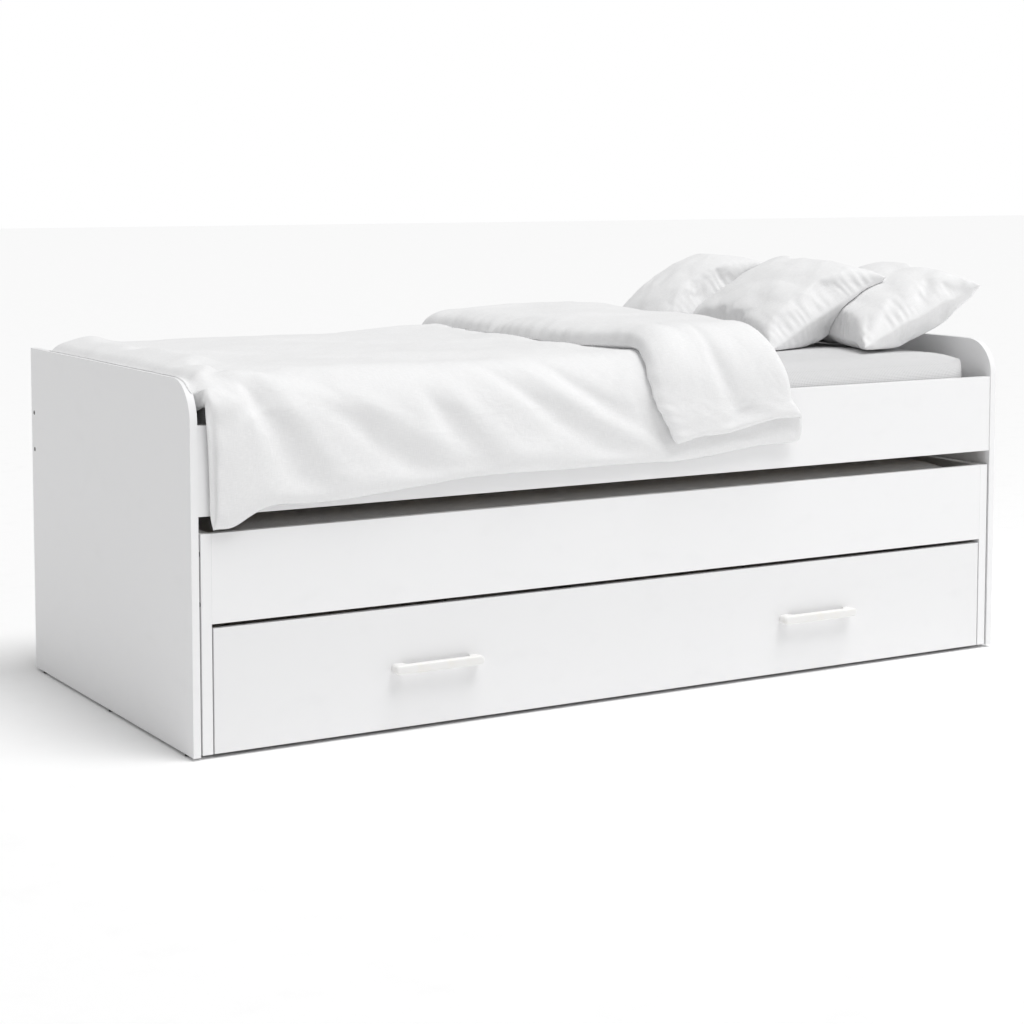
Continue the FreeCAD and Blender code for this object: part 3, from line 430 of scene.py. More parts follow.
@dataclass(frozen=True)
class Tape(Finish):
    """Woven webbing: a herringbone of coarse threads.

    The ribs are counted in radians of a wave per metre.
    """

    ribs: float = 2200.0

    def paint(self, sheet: NodeSheet) -> dict[str, object]:
        """Chevron ribs along the tape, with painted shade in the hollows between them."""
        along, across, _ = sheet.axes(here(sheet))
        chevron = ((along + abs(across)) * self.ribs).sine() * 0.5 + 0.5
        # painted shade: the hollows between the chevron ribs are coloured darker
        dark = self.toned(0.8)
        return {
            "Base Color": sheet.blend(chevron, dark, self.colour),
            "Normal": sheet.bump(chevron, 0.0003, 0.6),
        }


WHITE_BOARD = Laminate("white_board", (0.90, 0.90, 0.905), 0.40)
FRONT_BOARD = Laminate("drawer_front_board", (0.86, 0.86, 0.865), 0.40)
LINING = Laminate("drawer_lining", (0.78, 0.78, 0.775), 0.5, 0.1)
COTTON = Percale("white_cotton", (0.89, 0.89, 0.893), 0.82)
PILLOW_COTTON = Percale("pillow_cotton", (0.92, 0.92, 0.923), 0.8, 0.8)
TICKING = Knit("mattress_cover", (0.72, 0.72, 0.725), 0.9)
SLAT_WOOD = Timber("slat_wood", (0.60, 0.48, 0.34), 0.55, Grain.ALONG_Y)
BATTEN_WOOD = Timber("batten_wood", (0.64, 0.52, 0.37), 0.6, Grain.ALONG_X)
DRAWER_BATTEN_WOOD = Timber("drawer_batten_wood", (0.66, 0.50, 0.32), 0.6, Grain.ALONG_Y)
ZINC = Steel("zinc", (0.62, 0.63, 0.65), 0.3)
DARK_SCREW = Steel("dark_screw", (0.10, 0.10, 0.10), 0.45)
HANDLE_WHITE = Moulded("handle_white", (0.84, 0.835, 0.825), 0.3, 0.00004, 0.02)
GLIDE_BLACK = Moulded("glide_black", (0.025, 0.025, 0.025), 0.55)
WHEEL_GREY = Moulded("wheel_grey", (0.10, 0.10, 0.105), 0.6, 0.0001)
WEBBING = Tape("webbing", (0.66, 0.65, 0.61), 0.8)
FLOOR_PAINT = Laminate("floor_paint", (0.97, 0.97, 0.97), 0.8, 0.02)

NAMED_AS_THEIR_SLOT = (
    WHITE_BOARD, FRONT_BOARD, LINING, COTTON, TICKING, ZINC,
    DARK_SCREW, HANDLE_WHITE, GLIDE_BLACK, WHEEL_GREY, WEBBING,
)
FINISH_OF_SLOT: dict[str, Finish] = {finish.name: finish for finish in NAMED_AS_THEIR_SLOT}
FINISH_OF_SLOT.update({"beech_slats": SLAT_WOOD, "pine_batten": BATTEN_WOOD})


# ------------------------------ mesh helpers


def smooth(low: float, high: float, value: float) -> float:
    """Rises smoothly from 0 at low to 1 at high."""
    t = min(1.0, max(0.0, (value - low) / (high - low)))
    return t * t * (3 - 2 * t)


def mixed(first: float, second: float, share: float) -> float:
    """A value between two others."""
    return first + (second - first) * share


def wander(x: float, y: float, seed: float, scale: float) -> float:
    """Smooth noise from about -1 to 1, with patches about 1 / scale metres across."""
    return noise.noise(Vector((x * scale + seed, y * scale - seed * 0.7, seed * 1.3)))


def placed(name: str, data: bpy.types.ID) -> bpy.types.Object:
    """Puts a mesh, lamp or camera in the scene."""
    made = bpy.data.objects.new(name, data)
    bpy.context.scene.collection.objects.link(made)
    return made


def stored(mesh: bmesh.types.BMesh, name: str) -> bpy.types.Mesh:
    """Ends the editing of a mesh and keeps it."""
    data = bpy.data.meshes.new(name)
    mesh.to_mesh(data)
    mesh.free()
    return data


def add_piece(name: str, mesh: bpy.types.Mesh, finish: Finish) -> bpy.types.Object:
    """Puts a mesh in the scene under its own name, smooth-shaded and finished."""
    for face in mesh.polygons:
        face.use_smooth = True
    mesh.materials.append(finish.material())
    return placed(name, mesh)


def shell(
    name: str,
    middle: Place,
    thickness: Amount,
    length: float,
    width: float,
    rows: int,
    columns: int,
    finish: Finish,
    sharpness: float = 0.7,
) -> bpy.types.Object:
    """A stuffed two-sided shell about a middle surface, closed all round by a seam.

    Args:
        name: the piece's name.
        middle: the middle surface, from two shares of 0 to 1.
        thickness: the thickness at the same two shares.
        length: the flat cloth's length for the first share.
        width: the flat cloth's width for the second share.
        rows: faces along the first share.
        columns: faces along the second share.
        finish: the cloth.
        sharpness: how sharp the seam stays when the piece is smoothed, from 0 to 1.

    Returns:
        The closed piece, with its flat cloth coordinates in a UV map.
    """
    step = 1e-3  # share over which the middle surface's slope is measured
    mesh = bmesh.new()
    flat = mesh.loops.layers.uv.new("cloth")
    crease = mesh.edges.layers.float.new("crease_edge")
    top: list[list[bmesh.types.BMVert]] = []
    bottom: list[list[bmesh.types.BMVert]] = []
    for i in range(rows + 1):
        top.append([])
        bottom.append([])
        for j in range(columns + 1):
            s, t = i / rows, j / columns
            point = middle(s, t)
            if i in (0, rows) or j in (0, columns):
                vertex = mesh.verts.new(point)
                top[-1].append(vertex)
                bottom[-1].append(vertex)
                continue
            along = middle(min(1, s + step), t) - middle(max(0, s - step), t)
            across = middle(s, min(1, t + step)) - middle(s, max(0, t - step))
            normal = along.cross(across).normalized()
            half = thickness(s, t) / 2
            top[-1].append(mesh.verts.new(point + normal * half))
            bottom[-1].append(mesh.verts.new(point - normal * half))
    for side, flip in ((top, False), (bottom, True)):
        for i in range(rows):
            for j in range(columns):
                corners = [(i, j), (i + 1, j), (i + 1, j + 1), (i, j + 1)]
                if flip:
                    corners.reverse()
                face = mesh.faces.new([side[a][b] for a, b in corners])
                for loop, (a, b) in zip(face.loops, corners):
                    shift = 2 * length if flip else 0.0
                    loop[flat].uv = (shift + a / rows * length, b / columns * width)
    seam = set(sum(top, [])) & set(sum(bottom, []))
    for edge in mesh.edges:
        if edge.verts[0] in seam and edge.verts[1] in seam:
            edge[crease] = sharpness
    return add_piece(name, stored(mesh, name), finish)


def finish_piece(piece: bpy.types.Object) -> bpy.types.Object:
    """Applies a piece's modifiers for good, keeping its maps and materials."""
    graph = bpy.context.evaluated_depsgraph_get()
    data = bpy.data.meshes.new_from_object(piece.evaluated_get(graph), depsgraph=graph)
    piece.modifiers.clear()
    piece.data = data
    for face in data.polygons:
        face.use_smooth = True
    return piece


def subdivided(piece: bpy.types.Object, levels: int) -> bpy.types.Object:
    """Smooths a piece by subdivision, for good."""
    finer = piece.modifiers.new("finer", "SUBSURF")
    finer.levels = finer.render_levels = levels
    finer.uv_smooth = "PRESERVE_BOUNDARIES"
    return finish_piece(piece)


def block_mesh(low: Vector, high: Vector) -> bmesh.types.BMesh:
    """A plain block between two corners."""
    mesh = bmesh.new()
    bmesh.ops.create_cube(mesh, size=1.0)
    centre, extent = (low + high) / 2, high - low
    for vertex in mesh.verts:
        vertex.co = centre + Vector(a * b for a, b in zip(vertex.co, extent))
    return mesh


def solid_box(name: str, low: Vector, high: Vector, round_by: float) -> bpy.types.Object:
    """A block with rounded edges for cloth to rest on while it settles."""
    mesh = block_mesh(low, high)
    bmesh.ops.bevel(
        mesh, geom=list(mesh.edges), offset=round_by, segments=3, profile=0.5, affect="EDGES"
    )
    return placed(name, stored(mesh, name))


@dataclass(frozen=True)
class Settling:
    """How a piece of cloth is let go, blown up and caught.

    No point moves further than the limit, so the piece keeps the shape that it was sewn in.
    """

    pressure: float
    gravity: float
    frames: int
    tension: float
    bending: float
    limit: float
    mass: float = 0.25
    quality: int = 6
    touches_itself: bool = False
    damping: float = 2.0
    shear_share: float = 0.4
    clearance: float = 0.004
    self_clearance: float = 0.006
    support_skin: float = 0.003
    support_friction: float = 12.0

    def run(self, piece: bpy.types.Object, supports: Sequence[bpy.types.Object] = ()) -> None:
        """Simulates the piece and keeps the last frame as its mesh.

        Args:
            piece: the cloth.
            supports: what it rests on.
        """
        scene = bpy.context.scene
        for support in supports:
            support.modifiers.new("support", "COLLISION")
            support.collision.thickness_outer = self.support_skin
            support.collision.cloth_friction = self.support_friction
        cloth = piece.modifiers.new("cloth", "CLOTH")
        settings = cloth.settings
        settings.quality = self.quality
        settings.mass = self.mass
        settings.air_damping = self.damping
        settings.tension_stiffness = settings.compression_stiffness = self.tension
        settings.shear_stiffness = self.tension * self.shear_share
        settings.bending_stiffness = self.bending
        settings.use_pressure = self.pressure > 0
        settings.uniform_pressure_force = self.pressure
        settings.effector_weights.gravity = self.gravity
        cloth.collision_settings.use_collision = bool(supports)
        cloth.collision_settings.distance_min = self.clearance
        cloth.collision_settings.use_self_collision = self.touches_itself
        cloth.collision_settings.self_distance_min = self.self_clearance
        cloth.point_cache.frame_start = 1
        cloth.point_cache.frame_end = self.frames
        before = [vertex.co.copy() for vertex in piece.data.vertices]
        for step in range(1, self.frames + 1):
            scene.frame_set(step)
        finish_piece(piece)
        for vertex, start in zip(piece.data.vertices, before):
            moved = vertex.co - start
            if moved.length > self.limit:
                vertex.co = start + moved * (self.limit / moved.length)
        for support in supports:
            support.modifiers.clear()
        scene.frame_set(1)


# ------------------------------ soft goods


def give_way(piece: bpy.types.Object, neighbour: str, way: Vector, gap: float = 0.0015) -> None:
    """Dents a soft piece where it would pass into something that it lies on.

    Args:
        piece: the soft piece.
        neighbour: the name of the piece or carried-over part that it lies on.
        way: the direction in which the piece is pressed back.
        gap: the space left between them.
    """
    data = bpy.data.objects[neighbour].data
    tree = BVHTree.FromPolygons(
        [vertex.co for vertex in data.vertices], [tuple(face.vertices) for face in data.polygons]
    )
    out = way.normalized()
    dented = 0
    for vertex in piece.data.vertices:
        hit, facing, _, _ = tree.ray_cast(vertex.co, out)
        if hit is not None and facing.dot(out) > 0:
            vertex.co = hit + out * gap
            dented += 1
    LOG.info("%s: %d points pressed back by %s", piece.name, dented, neighbour)


@dataclass
class Mattress:
    """A foam mattress in a soft-edged knitted cover.

    The crown is how far its middle stands up; lump, ripple and pinch are how deep its unevenness goes.
    """

    node: str
    body: str
    crown: float = 0.008
    corner: float = 0.10
    edge: float = 0.070
    cell: float = 0.026
    seed: float = 2.0
    crown_run: float = 0.25
    lump: float = 0.004
    ripple: float = 0.002
    pinch: float = 0.003

    def build(self) -> None:
        """Makes the cover round the foam."""
        low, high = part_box(self.node)
        cover = self._cover(low, high)
        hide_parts(self.node)
        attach(cover, self.body)
        LOG.info("%s: cover over %.0f mm of foam", cover.name, (high.z - low.z) / MILLIMETRE)

    def _cover(self, low: Vector, high: Vector) -> bpy.types.Object:
        """The cover: a crowned, slightly uneven block with soft edges.

        Args:
            low: the foam's low corner.
            high: its high corner.

        Returns:
            The cover, with its flat cloth coordinates in a UV map.
        """
        mesh = block_mesh(low, high)
        centre, extent = (low + high) / 2, high - low
        for axis in range(3):
            cells = max(2, round(extent[axis] / self.cell))
            for k in range(1, cells):
                plane = centre.copy()
                plane[axis] = low[axis] + extent[axis] * k / cells
                normal = Vector([float(i == axis) for i in range(3)])
                everything = [*mesh.verts, *mesh.edges, *mesh.faces]
                bmesh.ops.bisect_plane(mesh, geom=everything, plane_co=plane, plane_no=normal)
        flat = mesh.loops.layers.uv.new("cloth")
        for face in mesh.faces:
            axis = max(range(3), key=lambda i: abs(face.normal[i]))
            one, two = [i for i in range(3) if i != axis]
            for loop in face.loops:
                loop[flat].uv = (loop.vert.co[one], loop.vert.co[two])
        for vertex in mesh.verts:
            vertex.co = self._softened(vertex.co, centre, extent)
        name = f"{self.node}_cover"
        return subdivided(add_piece(name, stored(mesh, name), TICKING), 1)

    def _softened(self, point: Vector, centre: Vector, extent: Vector) -> Vector:
        """Moves a point of the block onto the soft outline.

        Args:
            point: the point.
            centre: the block's middle.
            extent: its size along each axis.

        Returns:
            The moved point.
        """
        local = point - centre
        half = extent / 2
        # the four upright corners
        hub = Vector((max(half.x - self.corner, 0), max(half.y - self.corner, 0)))
        past = Vector((max(abs(local.x) - hub.x, 0), max(abs(local.y) - hub.y, 0)))
        if past.length > self.corner:
            past = past * (self.corner / past.length)
            local.x = math.copysign(hub.x + past.x, local.x) if abs(local.x) > hub.x else local.x
            local.y = math.copysign(hub.y + past.y, local.y) if abs(local.y) > hub.y else local.y
        # the top and bottom edges
        side = min(half.x - abs(local.x), half.y - abs(local.y))
        rise = half.z - abs(local.z)
        if side < self.edge and rise < self.edge:
            deep = Vector((self.edge - side, self.edge - rise))
            if deep.length > self.edge:
                spare = 1 - self.edge / deep.length
                nearest = int(half.x - abs(local.x) >= half.y - abs(local.y))
                local[nearest] -= math.copysign(spare * deep.x, local[nearest])
                local.z -= math.copysign(spare * deep.y, local.z)
        # the crown, and the unevenness of the sides
        if local.z > 0:
            swell = smooth(0, self.crown_run, side) * smooth(half.z * 0.8, half.z, local.z)
            lumps = wander(point.x, point.y, self.seed, 5.0) * self.lump
            local.z += swell * (lumps * 0.5 + self.crown)
        belly = 1 - (local.z / half.z) ** 2
        ripple = wander(point.x + point.z * 2, point.y, self.seed + 4, 7.0) * self.ripple
        if side < MILLIMETRE:
            nearest = int(half.x - abs(local.x) >= half.y - abs(local.y))
            local[nearest] -= math.copysign(self.pinch * (1 - belly) + ripple, local[nearest])
        return centre + local


@dataclass(frozen=True)
class Crease:
    """A long soft fold pulled across the cloth.

    The ends are places on the flat cloth, in metres; depth is negative for a valley.
    """

    start: tuple[float, float]
    end: tuple[float, float]
    width: float
    depth: float

    def height(self, along: float, across: float) -> float:
        """How far the fold lifts the cloth at a place.

        Args:
            along: the place's first coordinate.
            across: its second.

        Returns:
            The lift, in metres.
        """
        run = (self.end[0] - self.start[0], self.end[1] - self.start[1])
        length = math.hypot(*run)
        one = ((along - self.start[0]) * run[0] + (across - self.start[1]) * run[1]) / length ** 2
        if not -0.4 < one < 1.4:
            return 0.0
        bow = 0.06 * length * math.sin(math.pi * one)
        off = ((along - self.start[0]) * run[1] - (across - self.start[1]) * run[0]) / length + bow
        fade = smooth(-0.4, 0.15, one) * (1 - smooth(0.75, 1.4, one))
        spread = self.width * (0.7 + 0.6 * one)
        return self.depth * fade * math.exp(-(off / spread) ** 2)


def emboss(piece: bpy.types.Object, height: Amount) -> None:
    """Lifts a finished cloth along its normals by an amount read at its flat coordinates.

    Args:
        piece: the cloth, with its flat coordinates in the map "cloth".
        height: the lift at two flat coordinates.
    """
    data = piece.data
    flat = data.uv_layers["cloth"].data
    place: dict[int, tuple[float, float]] = {}
    for loop in data.loops:
        place.setdefault(loop.vertex_index, tuple(flat[loop.index].uv))
    normals = [vertex.normal.copy() for vertex in data.vertices]
    for vertex, normal in zip(data.vertices, normals):
        vertex.co += normal * height(*place[vertex.index])


@dataclass
class Duvet:
    """A filled cotton duvet: tucked at the foot, hanging over the front rail, turned down at the head.

    Lofts are thicknesses; the creases are placed on the flat quilt from the foot and from the front edge.
    """

    node: str = "duvet"
    loft: float = 0.052
    hang_loft: float = 0.018
    flap_loft: float = 0.048
    gap: float = 0.0015
    edge_round: float = 0.065
    fold_x: float = 0.405
    flap_end_x: float = -0.030
    hem_z: float = 0.517
    flap_hem_z: float = 0.576
    corner_drop: float = 0.044
    foot_tuck: float = 0.05
    seam_width: float = 0.035
    seam: float = 0.003
    foot_overhang: float = 0.014
    foot_blend: float = 0.16
    bend_extra: float = 0.03
    rows: int = 108
    columns: int = 72
    creases: tuple[Crease, ...] = (
        Crease((0.52, 0.00), (0.63, 0.13), 0.034, -0.0096),
        Crease((0.58, -0.01), (0.71, 0.13), 0.032, 0.0048),
        Crease((0.34, 0.04), (0.74, 0.21), 0.034, -0.0112),
        Crease((0.38, 0.00), (0.72, 0.13), 0.030, 0.0052),
        Crease((0.12, -0.02), (0.34, 0.23), 0.036, -0.0096),
        Crease((0.19, -0.02), (0.42, 0.21), 0.030, 0.0048),
        Crease((0.20, 0.19), (0.30, 0.25), 0.020, -0.0064),
        Crease((0.72, -0.03), (1.04, 0.17), 0.030, -0.0088),
        Crease((0.84, -0.06), (1.05, 0.10), 0.024, -0.0072),
        Crease((0.78, -0.05), (1.04, 0.12), 0.022, 0.0040),
        Crease((0.40, -0.30), (0.95, -0.06), 0.040, -0.0064),
        Crease((0.10, -0.55), (0.50, -0.35), 0.040, -0.0064),
        Crease((0.55, -0.62), (1.00, -0.36), 0.038, -0.0064),
        Crease((0.04, -0.24), (0.30, -0.04), 0.028, -0.0064),
        Crease((0.30, -0.45), (0.70, -0.22), 0.035, 0.0048),
    )
    flap_creases: tuple[Crease, ...] = (
        Crease((1.24, -0.06), (1.29, 0.10), 0.028, -0.0072),
        Crease((1.29, 0.08), (1.17, 0.20), 0.024, -0.0072),
        Crease((1.08, -0.30), (1.20, -0.05), 0.028, -0.0056),
        Crease((1.05, -0.60), (1.30, -0.40), 0.030, -0.0056),
        Crease((1.00, -0.80), (1.08, -0.55), 0.022, -0.0048),
    )
    top: float = field(init=False)
    front: float = field(init=False)
    back: float = field(init=False)
    foot: float = field(init=False)

    def __post_init__(self) -> None:
        """Reads the surfaces that the duvet lies on."""
        _, mattress_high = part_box("bed_mattress")
        panel_low, panel_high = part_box("foot_end_panel")
        self.top = mattress_high.z + 6 * MILLIMETRE
        self.front = panel_low.y
        self.back = mattress_high.y - 4 * MILLIMETRE
        self.foot = panel_high.x

    def build(self) -> None:
        """Makes the duvet and settles it on the bed."""
        along = self._path_length()
        across = self._flat_length() + self.edge_round * math.pi / 2 + self._full_hang()
        piece = shell(
            "duvet_cover", self._middle, self._thickness, along, across, self.rows, self.columns, COTTON
        )
        self._settle(piece)
        subdivided(piece, 1)
        emboss(piece, self._wrinkles)
        give_way(piece, "bed_mattress_cover", UP)
        give_way(piece, "front_rail", FORWARDS)
        give_way(piece, "foot_end_panel", UP + FORWARDS)
        subdivided(piece, 1)
        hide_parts(self.node)
        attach(piece, "bed_frame")
        LOG.info("%s: %.2f by %.2f m of quilt", piece.name, along, across)

    def _settle(self, piece: bpy.types.Object) -> None:
        """Lets the filled duvet swell and sink onto mattress, rail and panel."""
        supports = []
        for name, margin in (("bed_mattress", 0.02), ("front_rail", 0.003), ("foot_end_panel", 0.004)):
            low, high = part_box(name)
            supports.append(solid_box(f"support_{name}", low, high, margin))
        Settling(
            pressure=0.8,
            gravity=0.3,
            frames=12,
            tension=10.0,
            bending=0.6,
            touches_itself=True,
            limit=0.012,
        ).run(piece, supports)
        for support in supports:
            bpy.data.objects.remove(support)

    def _flat_length(self) -> float:
        """Width of the part that lies flat, from the back edge to where the front begins to turn down."""
        return self.back - (self.front + self.edge_round)

    def _full_hang(self) -> float:
        """Length of the part that hangs straight down."""
        return self.top - self.edge_round - self.hem_z

    def _arc(self) -> float:
        """Length of the bend over the bed's front edge."""
        return (self.edge_round + self.bend_extra) * math.pi / 2

    def _turn(self) -> float:
        """Radius of the turn-down's bend where it lies on the bed."""
        low, high = self._levels(0.0)
        return (high - low) / 2

    def _turn_start(self) -> float:
        """Length of quilt from the tucked end to the turn-down."""
        return self.foot_tuck + self.fold_x - self._turn() - self.foot

    def _levels(self, hanging: float) -> tuple[float, float]:
        """How far the middles of the lower and of the turned-down layer stand off the bed."""
        share = smooth(0.0, 1.0, hanging)
        low = self.gap + mixed(self.loft, self.hang_loft, share) / 2
        high = self.gap * 2 + mixed(self.loft + self.flap_loft / 2, self.hang_loft * 1.5, share)
        return low, high

    def _path_length(self) -> float:
        """Length of the quilt along the bed, from the tuck, round the turn-down, to its end."""
        turn = self._turn()
        lower = self.fold_x - turn - self.foot
        upper = self.fold_x - turn - self.flap_end_x
        return self.foot_tuck + lower + math.pi * turn + upper

    def _middle(self, s: float, t: float) -> Vector:
        """The quilt's middle surface.

        Args:
            s: share along the bed, from the foot, round the turn-down.
            t: share across, from the back to the hem that hangs in front.

        Returns:
            A point in the bed's frame.
        """
        flat, arc, full_hang = self._flat_length(), self._arc(), self._full_hang()
        reach = t * (flat + arc + full_hang)
        hanging = min(1.0, max(0.0, (reach - flat) / arc))
        drop = max(0.0, (reach - flat - arc) / full_hang)
        low, high = self._levels(hanging)
        turn = (high - low) / 2
        distance = s * self._path_length()
        turn_start = self._turn_start()
        turn_length = math.pi * self._turn()
        height_lost = drop * full_hang + hanging * self.edge_round
        shoulder = smooth(0.34, 0.0, flat - min(reach, flat)) * (1 - smooth(0.0, 1.0, hanging) * 0.85)
        fold = self.fold_x + 0.40 * max(0.0, height_lost - 0.09) - 0.062 * shoulder
        fold += 0.010 * wander(0.0, reach, 31.0, 4.0)
        if distance < turn_start:
            share = distance / turn_start
            x = self.foot - self.foot_tuck + share * (fold - turn - self.foot + self.foot_tuck)
            off, flap = low, 0.0
        elif distance < turn_start + turn_length:
            angle = (distance - turn_start) / turn_length * math.pi
            x = fold - turn + math.sin(angle) * turn
            off, flap = low + turn * (1 - math.cos(angle)), angle / math.pi
        else:
            past_turn = distance - turn_start - turn_length
            share = past_turn / (self._path_length() - turn_start - turn_length)
            end = self._flap_end(reach, height_lost, flat)
            x = mixed(fold - turn, end, share)
            off, flap = high, 1.0
            off -= 0.55 * self.flap_loft * smooth(0.055, 0.0, x - end) * (1 - hanging)
        foot_near = smooth(0.12, 0.0, distance - self.foot_tuck)
        off += 0.010 * foot_near * math.sin(math.pi * hanging)
        off += self._rumple(x, reach, flap) * mixed(1.0, 0.35, hanging)
        if reach < flat:
            point = Vector((x, self.back - reach, self.top + off))
        elif hanging < 1.0:
            angle = hanging * math.pi / 2
            radius = self.edge_round + off
            point = Vector((
                x,
                self.front + self.edge_round - math.sin(angle) * radius,
                self.top - self.edge_round + math.cos(angle) * radius,
            ))
        else:
            hem = self._hem(x, flap)
            z = mixed(self.top - self.edge_round, hem, drop)
            point = Vector((x, self.front - off, z))
        return self._trimmed(point, flap, hanging, reach)

    def _flap_end(self, reach: float, height_lost: float, flat: float) -> float:
        """Where the turned-down end lies along the bed: wavy on top, slanting as it hangs.

        Args:
            reach: distance across the quilt from its back edge.
            height_lost: how far below the top of the bed the quilt has come.
            flat: width of the part that lies flat.

        Returns:
            The end's place along the bed.
        """
        wave = 0.010 * math.sin(reach * 9.0 + 0.6) + 0.004 * math.sin(reach * 23.0)
        back_corner = -0.030 * smooth(0.14, 0.0, reach)
        slant = 0.40 * max(0.0, height_lost - 0.035)
        shoulder = 0.052 * smooth(0.17, 0.0, flat - min(reach, flat))
        on_top = smooth(0.0, 0.12, flat - reach + 0.12)
        return self.flap_end_x + (wave + back_corner) * on_top + shoulder + slant

    def _trimmed(self, point: Vector, flap: float, hanging: float, reach: float) -> Vector:
        """Tucks the foot end, droops the back edge and leans the foot edge of the hanging part.

        Args:
            point: a point of the middle surface.
            flap: 0 in the lower layer and 1 in the turned-down one.
            hanging: 0 on the bed and 1 below the bend over its front edge.
            reach: distance across the quilt from its back edge.

        Returns:
            The moved point.
        """
        from_foot = point.x - self.foot
        lower_layer = 1 - flap > 0.99
        if lower_layer:
            lying = 1 - smooth(0.1, 0.7, hanging)
            near = smooth(0.17, 0.0, from_foot)
            under = max(0.0, self.foot + self.foot_overhang - point.x)
            tucked = max(point.x, self.foot + self.foot_overhang + 0.15 * under)
            point.z -= lying * (near ** 2 * 0.030 + under * 0.8)
            point.x = mixed(point.x, tucked, lying)
        if lower_layer and hanging > 0:
            fall = max(0.0, self.top + self.loft - point.z)
            lean = -0.004 + 0.042 * (1 - math.exp(-fall / 0.10))
            start = self.foot + lean
            near = smooth(self.foot_blend, 0.0, point.x - self.foot)
            room = self.foot_blend - lean + self.foot_tuck
            eased = (point.x - (self.foot - self.foot_tuck)) * room / (self.foot_blend + self.foot_tuck)
            leant = max(start, min(point.x + 0.05, start + eased))
            share = smooth(0.1, 0.7, hanging)
            point.x = mixed(point.x, mixed(point.x, leant, near), share)
        edge = smooth(0.07, 0.0, reach)
        point.z -= edge * edge * 0.018
        return point

    def _hem(self, x: float, flap: float) -> float:
        """Height of the hanging hem at a place along the bed."""
        from_foot = x - self.foot
        drop = self.corner_drop * max(0.0, 1 - max(0.0, from_foot - 0.03) / 0.13)
        drop += 0.029 * smooth(0.62, 0.25, from_foot)
        wave = 0.002 * math.sin(from_foot * 9.0 + 1.0) + 0.001 * math.sin(from_foot * 21.0)
        lower = self.hem_z - drop + wave + 0.016 * smooth(1.1, 1.42, from_foot)
        tip = 0.014 * smooth(0.07, 0.0, abs(x - self.flap_end_x - 0.12))
        upper = self.flap_hem_z - 0.006 - tip + 0.024 * smooth(0.20, 0.38, x)
        return mixed(lower, upper, smooth(0.1, 0.9, flap))

    def _rumple(self, x: float, reach: float, flap: float) -> float:
        """Soft uneven loft over the quilt."""
        seed = 11.0 + 7.0 * round(flap)
        broad = wander(x, reach, seed, 2.6) * 0.008
        medium = wander(x * 0.8 + reach * 0.3, reach - x * 0.4, seed + 3, 6.0) * 0.005
        return broad + medium

    def _wrinkles(self, along: float, across: float) -> float:
        """Long pulled folds, small creases and gathers on the side of the quilt that can be seen.

        Args:
            along: distance along the quilt; the upper panel's starts at twice its length.
            across: distance across it from the back edge.

        Returns:
            The lift, in metres.
        """
        length = self._path_length()
        upper_panel = along > 1.5 * length
        along -= 2 * length * upper_panel
        turned = along > self.foot_tuck + self.fold_x - self.foot
        if upper_panel == turned:  # hidden: under the lower layer, or inside the turn-down
            return 0.0
        bend_end = self._flat_length() + self.edge_round * math.pi / 2
        front = across - bend_end + self.bend_extra
        width = bend_end + self._full_hang()
        if not turned:
            from_foot = along - self.foot_tuck
            folds = sum(crease.height(from_foot, front) for crease in self.creases)
        else:
            end = length - along
            folds = sum(
                crease.height(self.foot_tuck + end + 0.98, front) for crease in self.flap_creases
            )
        fine = wander(along + across * 0.7, across - along * 0.5, 41.0, 13.0) * 0.0016
        finer = wander(along, across, 47.0, 31.0) * 0.0006
        ends = min(along, length - along)
        puckers = math.sin(across * 150 + 3 * wander(across, along, 5.0, 9.0))
        gather = puckers * 0.0014 * smooth(0.07, 0.0, ends)
        inside_hem = smooth(0.0, 0.045, width - across)
        return (folds + fine + finer) * inside_hem + gather

    def _thickness(self, s: float, t: float) -> float:
        """Plump inside, thin where it hangs, drawn down to the seam at every edge."""
        along, flat, arc = self._path_length(), self._flat_length(), self._arc()
        across = flat + arc + self._full_hang()
        reach = t * across
        hanging = smooth(0.0, 1.0, (reach - flat) / arc)
        turn_start = self._turn_start()
        flap = smooth(turn_start, turn_start + math.pi * self._turn(), s * along)
        lofty = mixed(mixed(self.loft, self.flap_loft, flap), self.hang_loft, hanging)
        edge = min(s * along, (1 - s) * along * 1.5, reach * mixed(1.4, 2.2, flap), across - reach)
        share = min(1.0, edge / mixed(self.seam_width, 0.014, hanging))
        return (lofty - self.seam) * math.sqrt(max(0.0, 1 - (1 - share) ** 2)) + self.seam


